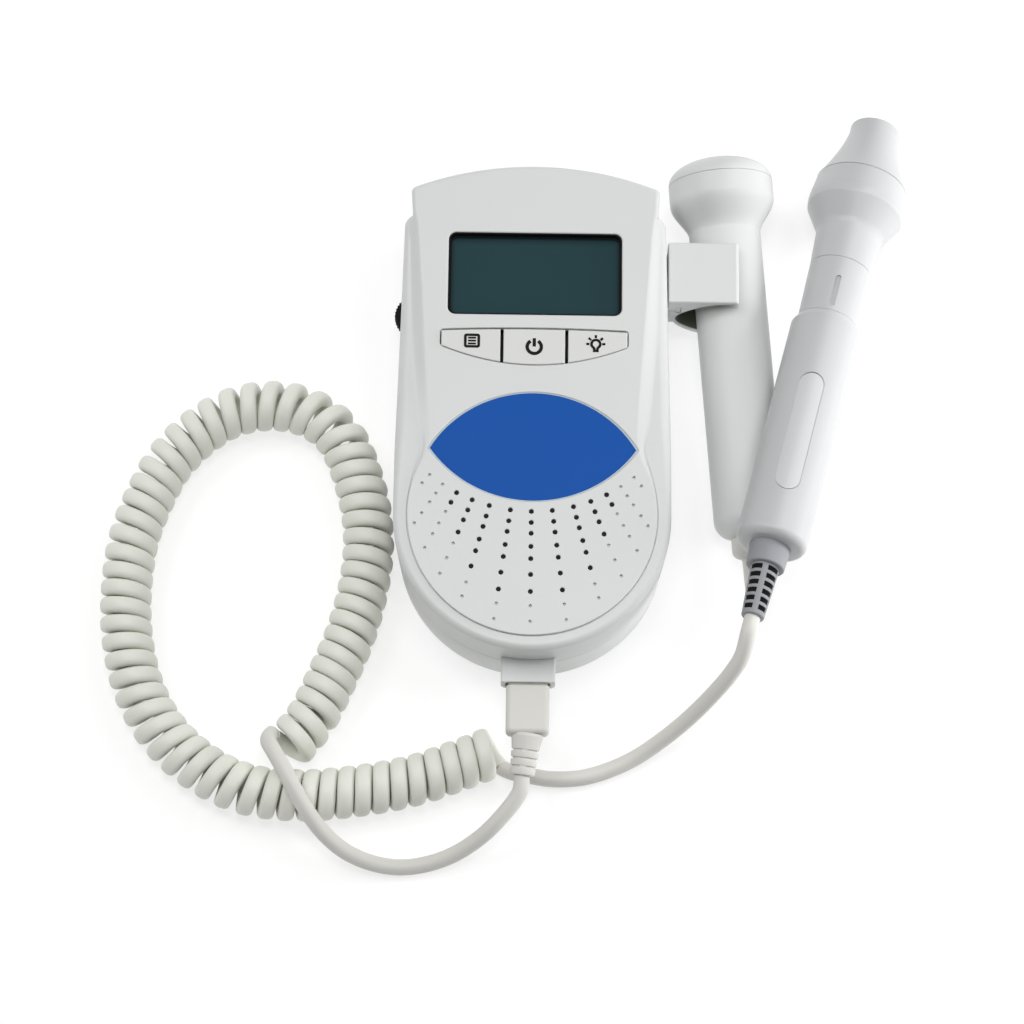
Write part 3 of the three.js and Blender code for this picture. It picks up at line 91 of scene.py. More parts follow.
# Case heights
WALL = 2.2
PARTING_Z = 17.0
SIDE_RIM_Z = 30.5
DISC_RIM_Z = 32.5
FACE_Z = 33.0
FACE_WALL = 2.0
CEILING_Z = FACE_Z - FACE_WALL
ROOM_TOP_Z = 26.4
BACK_ROUND = 2.8
SEAM = 0.12
DRAFT = 1.0
DRAFT_TOP_Z = 29.0
DRAFT_BLEND = (18.0, 44.0)


# Mesh helpers

def as_object(name, verts, faces):
    """A mesh object made of places in millimetres."""
    mesh = bpy.data.meshes.new(name)
    mesh.from_pydata([tuple(v) for v in np.asarray(verts, float) * MM], [], faces)
    mesh.update()
    obj = bpy.data.objects.new(name, mesh)
    bpy.context.scene.collection.objects.link(obj)
    return obj


def soften(obj, degrees=SHARP_DEGREES):
    """Smooth shading that stays flat on flat faces and crisp at sharp edges."""
    obj.data.shade_smooth()
    obj.data.set_sharp_from_angle(angle=math.radians(degrees))
    weighted = obj.modifiers.new("weighted", "WEIGHTED_NORMAL")
    weighted.keep_sharp = True
    return obj


def unit(vector):
    vector = np.asarray(vector, float)
    return vector / np.linalg.norm(vector)


def units(rows):
    return rows / np.linalg.norm(rows, axis=1)[:, None]


def rounding(steps):
    """Points of a quarter circle, side to top, as shares in from its side and down from its top."""
    angles = [QUARTER_TURN * i / steps for i in range(steps + 1)]
    return [(1 - math.cos(angle), 1 - math.sin(angle)) for angle in angles]


def level(outline, z):
    outline = np.asarray(outline, float)
    return np.column_stack((outline, np.full(len(outline), float(z))))


def loft(rings, closed=False):
    """A skin through rings of equal count, with flat ends or, where closed, back to its first ring."""
    rings = np.asarray([*rings, rings[0]] if closed else rings, float)
    levels, count = rings.shape[:2]
    last = (levels - 1) * count
    faces = []
    for low in range(0, last, count):
        for i in range(count):
            a, b = low + i, low + (i + 1) % count
            faces.append((a, b, b + count, a + count))
    if not closed:
        faces.append(tuple(range(count - 1, -1, -1)))
        faces.append(tuple(range(last, last + count)))
    return rings.reshape(-1, 3), faces


def stacked(outline_at, section, closed=False):
    """A skin through an outline's changes, each given as (its border, its height)."""
    return loft([level(outline_at(border), z) for border, z in section], closed)


def prism(outline, z0, z1):
    return loft([level(outline, z0), level(outline, z1)])


def block(x0, x1, y0, y1, z0, z1):
    return prism([(x0, y0), (x1, y0), (x1, y1), (x0, y1)], z0, z1)


def turned(profile, sides=ROUND_SIDES):
    """A turned form round Z from (radius, height) pairs, low to high."""
    verts, faces, rows = [], [], []
    for radius, height in profile:
        count = 1 if radius < TINY else sides
        rows.append(range(len(verts), len(verts) + count))
        for i in range(count):
            angle = FULL_TURN * i / sides
            verts.append((radius * math.cos(angle), radius * math.sin(angle), height))
    for low, high in zip(rows, rows[1:]):
        for i in range(sides):
            j = (i + 1) % sides
            corners = (low[i % len(low)], low[j % len(low)], high[j % len(high)], high[i % len(high)])
            face = tuple(dict.fromkeys(corners))
            if len(face) > 2:
                faces.append(face)
    return np.array(verts), faces


def cylinder(radius, z0, z1, sides=ROUND_SIDES):
    return turned([(0, z0), (radius, z0), (radius, z1), (0, z1)], sides)


def filleted(points, radii, closed=False, steps=ARC_STEPS):
    """A line in a plane with its corners rounded to the radii given for them."""
    points = [np.asarray(p, float) for p in points]
    longest_share = 0.49
    done = []
    for i, (corner, radius) in enumerate(zip(points, radii)):
        if radius <= 0 or (not closed and i in (0, len(points) - 1)):
            done.append(corner)
            continue
        back = points[i - 1] - corner
        fore = points[(i + 1) % len(points)] - corner
        back_length, fore_length = np.linalg.norm(back), np.linalg.norm(fore)
        back, fore = back / back_length, fore / fore_length
        half = math.acos(float(np.clip(back @ fore, -1, 1))) / 2
        if half > QUARTER_TURN - TINY:
            done.append(corner)
            continue
        reach = min(radius / math.tan(half), back_length * longest_share, fore_length * longest_share)
        middle = (back + fore) / np.linalg.norm(back + fore)
        centre = corner + middle * reach / math.cos(half)
        start, end = corner + back * reach - centre, corner + fore * reach - centre
        from_angle = math.atan2(start[1], start[0])
        sweep = (math.atan2(end[1], end[0]) - from_angle + HALF_TURN) % FULL_TURN - HALF_TURN
        arc_radius = np.linalg.norm(start)
        for k in range(steps + 1):
            angle = from_angle + sweep * k / steps
            done.append(centre + arc_radius * np.array((math.cos(angle), math.sin(angle))))
    return np.array(done)


def between(start, end, steps, first=0):
    """Places from start to end, in equal steps, the first ones left out."""
    start, end = np.asarray(start, float), np.asarray(end, float)
    return [start + (end - start) * i / steps for i in range(first, steps + 1)]


def arc(centre, radius, start, end, steps, first=0):
    angles = [start + (end - start) * i / steps for i in range(first, steps + 1)]
    return [np.array((centre[0] + radius * math.cos(a), centre[1] + radius * math.sin(a))) for a in angles]


def rounded_rect(half_x, half_y, corner, steps=8):
    points = []
    for quarter, (sx, sy) in enumerate(((1, 1), (-1, 1), (-1, -1), (1, -1))):
        centre = (sx * (half_x - corner), sy * (half_y - corner))
        start = quarter * QUARTER_TURN
        points += arc(centre, corner, start, start + QUARTER_TURN, steps)
    return np.array(points)


def full_round(sides, power):
    """Cosines and sines all round: a circle at power 2, and squarer above it."""
    angles = FULL_TURN * np.arange(sides) / sides
    return [np.sign(wave) * np.abs(wave) ** (2 / power) for wave in (np.cos(angles), np.sin(angles))]


def joined(*forms):
    """Several forms as one list of places and faces."""
    verts, faces, count = [], [], 0
    for form_verts, form_faces in forms:
        verts.append(form_verts)
        faces += [tuple(i + count for i in face) for face in form_faces]
        count += len(form_verts)
    return np.vstack(verts), faces


def moved(form, offset):
    return form[0] + np.asarray(offset, float), form[1]


def along_y(form):
    """Turns a form made along Z so that it runs along Y."""
    return form[0][:, (0, 2, 1)], [tuple(reversed(face)) for face in form[1]]


def turned_to(form, place, direction):
    """A form made along Z, stood at a place along a direction, with its X as upright as can be."""
    ahead = unit(direction)
    up = np.cross(unit(np.cross(ahead, (0, 0, 1))), ahead)
    axes = np.array((up, np.cross(ahead, up), ahead))
    return form[0] @ axes + np.asarray(place, float), form[1]


def applied(obj, modifier):
    """Keeps what a modifier makes as the object's mesh."""
    bpy.context.view_layer.update()
    result = bpy.data.meshes.new_from_object(obj.evaluated_get(bpy.context.evaluated_depsgraph_get()))
    obj.modifiers.remove(modifier)
    old = obj.data
    obj.data = result
    bpy.data.meshes.remove(old)


def carved(obj, form, operation="DIFFERENCE"):
    """Cuts a form from an object, or joins it on."""
    tool = as_object("tool", *form)
    cut = obj.modifiers.new("cut", "BOOLEAN")
    cut.object = tool
    cut.operation = operation
    cut.solver = "EXACT"
    applied(obj, cut)
    bpy.data.meshes.remove(tool.data)


def bevelled(obj, width, segments=4, degrees=50):
    """Rounds the edges where faces meet at more than an angle."""
    bevel = obj.modifiers.new("bevel", "BEVEL")
    bevel.width = width * MM
    bevel.segments = segments
    bevel.limit_method = "ANGLE"
    bevel.angle_limit = math.radians(degrees)
    applied(obj, bevel)


def dressed(obj, body, slot, material, *nodes):
    """Gives a piece its body, its finish and the solids that it stands for."""
    obj.data.materials.clear()
    obj.data.materials.append(material)
    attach(obj, body)
    if nodes:
        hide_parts(*nodes)
    return obj


def piece(name, form, body, slot, material, *nodes):
    return dressed(soften(as_object(name, *form)), body, slot, material, *nodes)


# Materials

def linear(value):
    """A colour value of 0 to 255 as light."""
    share = value / 255
    return share / 12.92 if share <= 0.04045 else ((share + 0.055) / 1.055) ** 2.4


def shade(red, green, blue):
    return linear(red), linear(green), linear(blue), 1.0


def node(tree, kind, **values):
    made = tree.nodes.new(kind)
    for key, value in values.items():
        if hasattr(made, key):
            setattr(made, key, value)
        else:
            made.inputs[key].default_value = value
    return made


def ramp(tree, source, target, low, high, start=0.0, end=1.0, kind="LINEAR"):
    """Takes a value that runs from start to end on to a target as low to high."""
    made = node(tree, "ShaderNodeMapRange", interpolation_type=kind)
    for key, value in (("From Min", start), ("From Max", end), ("To Min", low), ("To Max", high)):
        made.inputs[key].default_value = value
    tree.links.new(source, made.inputs["Value"])
    tree.links.new(made.outputs["Result"], target)


GLOSS_SPREAD = 0.12
CLOUD_SCALE = 45.0
BUMP_HEIGHT = 0.02


def plastic(name, colour, roughness, grain=0.0, grain_size=0.35, cloud=0.02, specular=0.5, **shader_values):
    """Moulded plastic: a fine grain in the surface, a slightly uneven gloss and a faint cloud of colour."""
    material = bpy.data.materials.new(name)
    material.use_nodes = True
    tree = material.node_tree
    shader = tree.nodes["Principled BSDF"]
    shader.inputs["Specular IOR Level"].default_value = specular
    for key, value in shader_values.items():
        shader.inputs[key].default_value = value
    place = node(tree, "ShaderNodeTexCoord")

    broad = node(tree, "ShaderNodeTexNoise", Scale=CLOUD_SCALE, Detail=3.0)
    tree.links.new(place.outputs["Object"], broad.inputs["Vector"])
    tone = node(tree, "ShaderNodeVectorMath", operation="SCALE")
    tone.inputs[0].default_value = colour[:3]
    ramp(tree, broad.outputs["Fac"], tone.inputs["Scale"], 1 - cloud, 1 + cloud)
    tree.links.new(tone.outputs["Vector"], shader.inputs["Base Color"])
    dull = min(roughness * (1 + GLOSS_SPREAD), 1.0)
    ramp(tree, broad.outputs["Fac"], shader.inputs["Roughness"], roughness * (1 - GLOSS_SPREAD), dull)

    if grain > 0:
        fine = node(tree, "ShaderNodeTexNoise", Scale=1 / (grain_size * MM), Detail=2.0)
        tree.links.new(place.outputs["Object"], fine.inputs["Vector"])
        bump = node(tree, "ShaderNodeBump", Strength=grain, Distance=BUMP_HEIGHT * MM)
        tree.links.new(fine.outputs["Fac"], bump.inputs["Height"])
        tree.links.new(bump.outputs["Normal"], shader.inputs["Normal"])
    return material


def shadow_and_frame_border(material, across, up, share):
    """Darkens a colour towards the sides and the top end: partly the dark frame under a window, partly
    painted shadow of the recess's walls, strongest at the top.
    """
    tree = material.node_tree
    colour = tree.nodes["Principled BSDF"].inputs["Base Color"]
    source = colour.links[0].from_socket
    place = node(tree, "ShaderNodeTexCoord")
    split = node(tree, "ShaderNodeSeparateXYZ")
    tree.links.new(place.outputs["Object"], split.inputs["Vector"])
    width = node(tree, "ShaderNodeMath", operation="ABSOLUTE")
    tree.links.new(split.outputs["X"], width.inputs[0])
    darkest = node(tree, "ShaderNodeMath", operation="MAXIMUM")
    for target, output, (start, end) in ((darkest.inputs[0], width.outputs[0], across),
                                         (darkest.inputs[1], split.outputs["Y"], up)):
        ramp(tree, output, target, 0.0, 1.0, start * MM, end * MM, "SMOOTHSTEP")
    darkened = node(tree, "ShaderNodeVectorMath", operation="SCALE")
    tree.links.new(source, darkened.inputs[0])
    ramp(tree, darkest.outputs[0], darkened.inputs["Scale"], 1.0, 1 - share)
    tree.links.new(darkened.outputs["Vector"], colour)


BODY = plastic("body_plastic", shade(206, 208, 207), 0.42, grain=0.5)
KEY = plastic("key_plastic", shade(207, 208, 206), 0.48, grain=0.5, cloud=0.015)
WINDOW = plastic("window_glass", shade(31, 59, 64), 0.12, cloud=0.04, specular=0.25)
# The window darkens towards its sides and top: painted shadow of the recess, and partly its dark frame.
shadow_and_frame_border(WINDOW, (20.8, 23.0), (44.2, 47.4), 0.62)
LABEL = plastic("label_film", shade(22, 80, 162), 0.38, grain=0.3, cloud=0.03, specular=0.08)
# The curl's jacket: the leads' jacket painted lighter, to offset the shade between its turns.
CORD = plastic("cord_jacket_painted_lighter", shade(222, 223, 214), 0.5, grain=0.6, grain_size=0.5, cloud=0.03)
LEAD = plastic("lead_jacket", shade(208, 207, 202), 0.5, grain=0.5, grain_size=0.5)
BOOT = plastic("boot_rubber", shade(142, 144, 148), 0.55, grain=0.5)
PROBE = plastic("probe_plastic", shade(186, 187, 188), 0.34, grain=0.15, cloud=0.015)
FILM = plastic("probe_label_film", shade(194, 196, 197), 0.4, grain=0.3)
BLACK = plastic("black_plastic", shade(20, 20, 21), 0.5, grain=0.6)
# Deep black: the volume wheel's own colour, and painted shade where it lines the screen's recess and fills
# the probe relief's core.
BLACK_AND_SHADE = plastic("black_plastic_and_painted_shade", shade(7, 8, 9), 0.7, grain=0.6, specular=0.2)
# Dark olive pad in the holder's bore: painted shade inside the bore.
BORE_SHADE = plastic("holder_bore_painted_shade", shade(98, 102, 88), 0.8, grain=0.8)
# Black for the speaker cloth, used as painted shade that fills the open grille holes.
CLOTH_AND_SHADE = plastic("black_cloth_and_painted_hole_shade", shade(9, 9, 10), 0.85, grain=0.8, grain_size=0.25)
INK = plastic("key_mark_ink", shade(12, 12, 13), 0.7, grain=0.2, specular=0.2)
BORDER = plastic("label_border_film", shade(176, 190, 200), 0.4, grain=0.2)
MAT = plastic("key_mat_rubber", shade(26, 26, 27), 0.7, grain=0.6)
BOARD = plastic("circuit_board", shade(28, 88, 56), 0.4, cloud=0.1)
METAL = plastic("plated_metal", shade(186, 189, 192), 0.3, cloud=0.04, Metallic=1.0)
BATTERY = plastic("battery_sleeve", shade(58, 94, 138), 0.35, cloud=0.05)
SLOT_MATERIALS = {
    "case": BODY, "key": KEY, "screen": WINDOW, "label": LABEL, "mat": MAT, "black_plastic": BLACK,
    "board": BOARD, "metal": METAL, "battery": BATTERY, "probe": PROBE, "boot": BOOT, "lead": LEAD,
    "cord": CORD,
}


# Cords

CORD_DIAMETER = 4.2
CURL_RADIUS = 4.8
CURL_GAP = 0.2
CURL_AXIS_Z = 6.95
CURL_SAMPLES = 600
CURL_STEPS = 24
CURL_COARSE_STEPS = 8
CURL_BETWEEN = 3
CURL_LAST_TURN = 0.25
CURL_FLAT = 0.04
CURL_POWER = 2.7
CURL_FADE = 12
CORD_SIDES = 20
ROUTE_STEPS = 40

# Curl: points of the axis it winds round, on the table, as the solid has them
CURL_ROUTE = [
    (-62.4, -86.6), (-56.6, -78.8), (-51.5, -67.6), (-46.8, -55.3), (-43.6, -40.8), (-43.1, -27.6),
    (-46.0, -13.6), (-51.6, -1.2), (-59.3, 4.9), (-69.2, 7.0), (-79.8, 5.1), (-88.8, -0.6),
    (-96.4, -9.2), (-101.4, -19.6), (-105.0, -31.2), (-106.2, -44.6), (-105.4, -57.6), (-101.9, -71.0),
    (-95.6, -82.2), (-86.2, -91.2), (-74.4, -97.3), (-60.0, -99.2), (-44.0, -97.8), (-29.2, -94.7),
    (-17.4, -90.4), (-9.4, -87.1),
]
PLUG_LEAD_ROUTE = [
    (-66.9, -87.1, 16.0), (-65.6, -89.6, 17.4), (-63.4, -93.3, 17.9), (-60.1, -99.2, 17.7),
    (-56.4, -105.2, 15.6), (-52.0, -110.2, 11.4), (-46.4, -113.9, 6.8), (-39.4, -116.1, 3.4),
    (-32.4, -116.7, 2.2), (-25.6, -115.8, 2.8), (-19.2, -113.8, 4.8), (-13.2, -110.6, 8.0),
    (-8.5, -106.9, 11.2),
]
CURL_EXIT = (-7.4, -89.7, 2.15)
PROBE_LEAD_ROUTE = [
    (-4.6, -91.1, 2.2), (-0.6, -91.9, 2.2), (6.0, -92.9, 2.2), (14.0, -92.4, 2.2), (21.0, -90.3, 2.4),
    (27.6, -87.3, 3.4), (33.6, -83.7, 6.0), (38.8, -80.3, 10.0), (43.4, -77.0, 15.0),
    (47.6, -73.6, 20.6), (51.2, -70.2, 26.0), (53.8, -66.6, 30.2),
]

# The plug's relief from its start to its end, and two places on each probe's axis
PLUG_BOOT_FROM = np.array((-0.5, -84.9, 17.0))
PLUG_BOOT_TO = np.array((-1.7, -95.0, 15.2))
FLAT_HEAD = np.array((49.2526, 75.1, 18.7748))
FLAT_TAIL = np.array((56.2480, -31.7, 10.0706))
PENCIL_HEAD = np.array((86.2526, 61.7, 13.7))
PENCIL_TAIL = np.array((62.8480, -31.2, 28.7706))


def spline(points, steps_between):
    """A smooth curve through points, spaced by the root of their distance, as places close together."""
    points = [np.asarray(p, float) for p in points]
    ends = [2 * points[0] - points[1], *points, 2 * points[-1] - points[-2]]
    line = []
    for i in range(1, len(ends) - 2):
        p0, p1, p2, p3 = ends[i - 1:i + 3]
        d0, d1, d2 = (max(np.linalg.norm(b - a), TINY) ** 0.5 for a, b in ((p0, p1), (p1, p2), (p2, p3)))
        t1 = ((p1 - p0) / d0 - (p2 - p0) / (d0 + d1) + (p2 - p1) / d1) * d1
        t2 = ((p2 - p1) / d1 - (p3 - p1) / (d1 + d2) + (p3 - p2) / d2) * d1
        c2 = -3 * p1 + 3 * p2 - 2 * t1 - t2
        c3 = 2 * p1 - 2 * p2 + t1 + t2
        for k in range(steps_between):
            t = k / steps_between
            line.append(p1 + t1 * t + c2 * t * t + c3 * t ** 3)
    line.append(points[-1])
    return np.array(line)


def sampled(line, spots, wanted):
    """The line's places at the wanted spots, where its own points lie at the given ones."""
    return np.column_stack([np.interp(wanted, spots, line[:, k]) for k in range(3)])


def evenly(line, count):
    """The line as count equal steps."""
    along = np.concatenate(([0], np.cumsum(np.linalg.norm(np.diff(line, axis=0), axis=1))))
    return sampled(line, along, np.linspace(0, along[-1], count + 1))


def length_of(line):
    return float(np.linalg.norm(np.diff(line, axis=0), axis=1).sum())


def curl_path():
    """Places of the curl's cord, and its axis' direction there: a helix with a wider pitch in the bends."""
    axis = evenly(spline([(x, y, CURL_AXIS_Z) for x, y in CURL_ROUTE], ROUTE_STEPS), CURL_SAMPLES)
    step = length_of(axis) / CURL_SAMPLES
    ahead = units(np.gradient(axis, axis=0))
    lean = math.atan(CORD_DIAMETER / (FULL_TURN * CURL_RADIUS))
    tight = (CORD_DIAMETER + CURL_GAP) / math.cos(lean)
    turns_to = [0.0]
    for here, following in zip(ahead, ahead[1:]):
        bend = math.acos(float(np.clip(here @ following, -1, 1))) / step
        turns_to.append(turns_to[-1] + step * (1 - CURL_RADIUS * bend) / tight)
    turns = math.floor(turns_to[-1] - CURL_LAST_TURN) + CURL_LAST_TURN
    wanted = np.arange(0, turns * CURL_STEPS + 0.5) / CURL_STEPS
    spots = np.arange(CURL_SAMPLES + 1)
    share = np.interp(wanted * (turns_to[-1] / turns), turns_to, spots)
    heads = sampled(ahead, spots, share)
    left = units(np.cross((0, 0, 1), heads))
    angle = -wanted * FULL_TURN
    path = sampled(axis, spots, share) + left * (CURL_RADIUS * np.cos(angle))[:, None]
    path[:, 2] += CURL_RADIUS * np.sin(angle)
    return path, heads


def rotated(vector, axis, angle):
    return np.array(Matrix.Rotation(angle, 3, Vector(axis)) @ Vector(vector))


def curl_with_ends():
    """The curl with a short run at each end, as one smooth line, and its axis' direction along it."""
    path, heads = curl_path()
    every = CURL_STEPS // CURL_COARSE_STEPS
    coarse, heads = path[::every], heads[::every]
    start, before = unit(coarse[0] - coarse[1]), coarse[1] - coarse[2]
    start = rotated(start, unit(np.cross(before, start)), HALF_TURN / 8)
    line = spline([coarse[0] + start * CORD_DIAMETER, *coarse, np.array(CURL_EXIT)], CURL_BETWEEN)
    return line, sampled(heads, np.arange(len(coarse)), np.linspace(-1, len(coarse), len(line)))


def tube(path, radius, across=None):
    """A round skin along a path; where across is given, a little wider that way than it is thick."""
    rings, side = [], None
    last = len(path) - 1
    cosines, sines = full_round(CORD_SIDES, 2 if across is None else CURL_POWER)
    for i, place in enumerate(path):
        ahead = unit(path[min(i + 1, last)] - path[max(i - 1, 0)])
        flat = 0.0
        if across is not None:
            side = unit(across[i] - ahead * (across[i] @ ahead))
            flat = CURL_FLAT * min(1, i / CURL_FADE, (last - i) / CURL_FADE)
        elif side is None:
            side = unit(np.cross((0, 0, 1), ahead))
        else:
            side = unit(side - ahead * (side @ ahead))
        other = np.cross(ahead, side)
        wide, thick = radius * (1 + flat) * cosines, radius * (1 - flat) * sines
        rings.append(place + np.outer(wide, side) + np.outer(thick, other))
    return loft(rings)


def lead_path(place, ahead, route, end_place, end_ahead):
    """On from a place in its direction, along the route and into the end place."""
    points = [place - ahead * CORD_DIAMETER / 2, place, *[np.array(p) for p in route],
              end_place + end_ahead * CORD_DIAMETER, end_place]
    line = spline(points, ROUTE_STEPS)[ROUTE_STEPS:]
    return evenly(line, round(length_of(line)))


def cords(plug_pieces):
    curl, curl_across = curl_with_ends()
    plug_ahead = unit(PLUG_BOOT_TO - PLUG_BOOT_FROM)
    back = unit(PENCIL_TAIL - PENCIL_HEAD)
    pencil_exit = PENCIL_HEAD + back * (COLLAR_LENGTH + BOOT_LENGTH - HANDLE_END)
    plug_line = lead_path(curl[0], unit(curl[0] - curl[1]), PLUG_LEAD_ROUTE, PLUG_BOOT_TO, plug_ahead)
    probe_line = lead_path(curl[-1], unit(curl[-1] - curl[-2]), PROBE_LEAD_ROUTE, pencil_exit, back)
    radius = CORD_DIAMETER / 2

    wound = piece("curled_cord", tube(curl, radius, curl_across), "case", "cord", CORD, "cord_curl")
    to_plug = soften(as_object("cord_to_plug", *tube(plug_line, radius)))
    to_probe = soften(as_object("cord_to_probe", *tube(probe_line, radius)))
    for lead, replaced, body, line in ((to_plug, "plug_lead", "plug", plug_line),
                                       (to_probe, "probe_lead", "pencil_probe", probe_line)):
        lead.data.materials.append(LEAD)
        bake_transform(lead)
        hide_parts(replaced)


# Case outlines: from the bottom middle round the right side to the top middle, then mirrored

DISC_STEPS = 44
TIP_STEPS = 16
SIDE_STEPS = 26
SHOULDER_STEPS = 8
CAP_SIDE_STEPS = 6
CAP_STEPS = 26
CAP_CORNER = 1.5
STEP_SHARE = 0.25
TIP_SOFT = 4
TIP_ANGLE = math.asin((TIP_Y - DISC_CENTRE_Y) / DISC_RADIUS)
CAP_ARC = (CAP_HALF ** 2 + CAP_RISE ** 2) / (2 * CAP_RISE)
CAP_ARC_Y = CAP_END_Y + CAP_RISE - CAP_ARC
CORNER_X = SHOULDER_HALF - SHOULDER_RADIUS
CORNER_Y = SHOULDER_Y - SHOULDER_RADIUS


def mirrored(right):
    return np.array([*right, *[np.array((-x, y)) for x, y in reversed(right[1:-1])]])


def cap_line(inset):
    """The side and the end of the cap, with a small round at its corner."""
    cap_x, radius = CAP_HALF - inset, CAP_ARC - inset
    step = inset * STEP_SHARE
    start = np.array((min(cap_x - CAP_TAPER, CORNER_X - step), SHOULDER_Y - step))
    corner = np.array((cap_x, CAP_ARC_Y + math.sqrt(radius ** 2 - cap_x ** 2)))
    line = []
    for i in range(CAP_STEPS + 1):
        x = cap_x * (1 - i / CAP_STEPS)
        line.append(np.array((x, CAP_ARC_Y + math.sqrt(radius ** 2 - x ** 2))))
    round_corner = filleted([start, corner, line[2]], [0, max(CAP_CORNER - inset / 2, GAP), 0])[1:-1]
    side = between(start, round_corner[0], CAP_SIDE_STEPS)[:-1]
    return [*side, *round_corner, *line[2:]]


def case_outline(inset=0.0):
    radius = CASE_HALF - inset
    right = arc((0, DISC_CENTRE_Y), radius, -QUARTER_TURN, 0, DISC_STEPS)
    right += [np.array((radius, DISC_CENTRE_Y + DISC_RADIUS * math.sin(TIP_ANGLE * i / TIP_STEPS)))
              for i in range(1, TIP_STEPS + 1)]
    corner = max(SHOULDER_RADIUS - inset, GAP)
    centre = (SHOULDER_HALF - inset - corner, SHOULDER_Y - inset - corner)
    right += between(right[-1], (centre[0] + corner, centre[1]), SIDE_STEPS, 1)
    right += arc(centre, corner, 0, QUARTER_TURN, SHOULDER_STEPS, 1)
    return mirrored(right + cap_line(inset))


def face_outline(inset=0.0):
    radius = DISC_RADIUS - inset
    right = arc((0, DISC_CENTRE_Y), radius, -QUARTER_TURN, 0, DISC_STEPS)
    right += arc((0, DISC_CENTRE_Y), radius, 0, TIP_ANGLE, TIP_STEPS, 1)
    tip = right[-1]
    cap_x = CAP_HALF - inset
    heights = list(np.linspace(TIP_Y, CORNER_Y, SIDE_STEPS + 1)[1:])
    heights += [CORNER_Y + SHOULDER_RADIUS * math.sin(QUARTER_TURN * i / SHOULDER_STEPS)
                for i in range(1, SHOULDER_STEPS + 1)]
    for y in heights:
        x = tip[0] + (cap_x - tip[0]) * (y - TIP_Y) / (CAP_END_Y - TIP_Y)
        right.append(np.array((x, max(y - inset * STEP_SHARE * (y > CORNER_Y), tip[1]))))
    turn = DISC_STEPS + TIP_STEPS
    start, end = right[turn - TIP_SOFT], right[turn + TIP_SOFT // 2]
    for i in range(1, TIP_SOFT + TIP_SOFT // 2):
        t = i / (TIP_SOFT + TIP_SOFT // 2)
        right[turn - TIP_SOFT + i] = start * (1 - t) ** 2 + tip * 2 * t * (1 - t) + end * t * t
    return mirrored(right + cap_line(inset))


def smoothstep(value, low, high):
    share = np.clip((np.asarray(value, float) - low) / (high - low), 0, 1)
    return share * share * (3 - 2 * share)


# Front half of the case

RIM_BLEND = (-16.0, 30.0)
SIDE_BLEND = (-25.0, -4.0)
CAP_BLEND = (47.5, 52.5)
CROWN_DISC = 1.7
CROWN_SIDE = 2.8
CROWN_SHARE = 0.5
CROWN_STEPS = 8
EDGE_ROUND = 0.25
EDGE_BREAK = EDGE_ROUND / 4
GROOVE_WIDTH = 0.2
GROOVE_DEPTH = 0.35
GROOVE_ROUND = 0.22
FACE_ROUND_DISC = 0.3
FACE_ROUND_CAP = 1.3
COVE_WIDTHS = (3.0, 2.6)
COVE_INWARD = 1.5
FACE_STEPS = 7


def drafted(inset, z):
    """The case's outline at a height: it draws in towards the back, less so near the top end."""
    outline = case_outline(inset)
    inward = case_outline(inset + 1) - outline
    share = DRAFT * max(0.0, 1 - z / DRAFT_TOP_Z) * (1 - smoothstep(outline[:, 1], *DRAFT_BLEND))
    return level(outline + inward * share[:, None], z)


def edge_profile():
    """The step from the rim to the disc's face: how far out and up, and whether up is from the face."""
    depth, width, edge = GROOVE_DEPTH, GROOVE_WIDTH, GROOVE_ROUND
    groove = [(width + edge, 0), (width + edge * 0.3, -edge * 0.3), (width, -edge), (width, -depth),
              (0, -depth), (0, -depth * 0.6), (0, 0)]
    face = [(-FACE_ROUND_DISC * inward, -FACE_ROUND_DISC * down) for inward, down in rounding(FACE_STEPS)]
    return [(*point, False) for point in groove] + [(*point, True) for point in face]


def case_front():
    outer, inner = case_outline(), face_outline()
    inner[:, 0] = np.sign(inner[:, 0]) * np.minimum(np.abs(inner[:, 0]), np.abs(outer[:, 0]))
    inward = face_outline(1.0) - face_outline()
    across = outer - inner
    width = np.linalg.norm(across, axis=1)
    out = across / np.maximum(width, TINY)[:, None]
    y = outer[:, 1]
    rim = DISC_RIM_Z + (SIDE_RIM_Z - DISC_RIM_Z) * smoothstep(y, *RIM_BLEND)
    side = smoothstep(y, *SIDE_BLEND)
    cap = smoothstep(y, *CAP_BLEND)
    crown_height = CROWN_DISC + (CROWN_SIDE - CROWN_DISC) * side
    crown = np.minimum(crown_height, CROWN_SHARE * width)
    low = PARTING_Z + SEAM / 2
    rings = [drafted(EDGE_ROUND, low), drafted(EDGE_BREAK, low + EDGE_BREAK), drafted(0, low + EDGE_ROUND)]
    for share_in, share_down in rounding(CROWN_STEPS):
        reach = crown * share_in
        rings.append(np.column_stack((outer - out * reach[:, None], rim - crown_height * share_down)))
    room = np.maximum(width - crown, 0)
    cove = np.minimum(np.interp(y, (TIP_Y, SHOULDER_Y), COVE_WIDTHS[::-1]), room)
    profile = edge_profile()
    for k, (reach, rise, on_face) in enumerate(profile):
        share = k / (len(profile) - 1)
        angle = QUARTER_TURN * share
        disc_away = np.minimum(reach, room)
        side_away = cove + (-COVE_INWARD - cove) * share
        cap_away = -FACE_ROUND_CAP * (1 - math.cos(angle))
        disc_z = (FACE_Z if on_face else rim) + rise
        side_z = rim + (FACE_Z - rim) * float(smoothstep(share, 0, 1))
        cap_z = FACE_Z - FACE_ROUND_CAP * (1 - math.sin(angle))
        away = disc_away * (1 - side) + (side_away * (1 - cap) + cap_away * cap) * side
        z = disc_z * (1 - side) + (side_z * (1 - cap) + cap_z * cap) * side
        place = inner + out * np.maximum(away, 0)[:, None] + inward * np.maximum(-away, 0)[:, None]
        rings.append(np.column_stack((place, z)))
    return loft(rings)


# Openings in the face

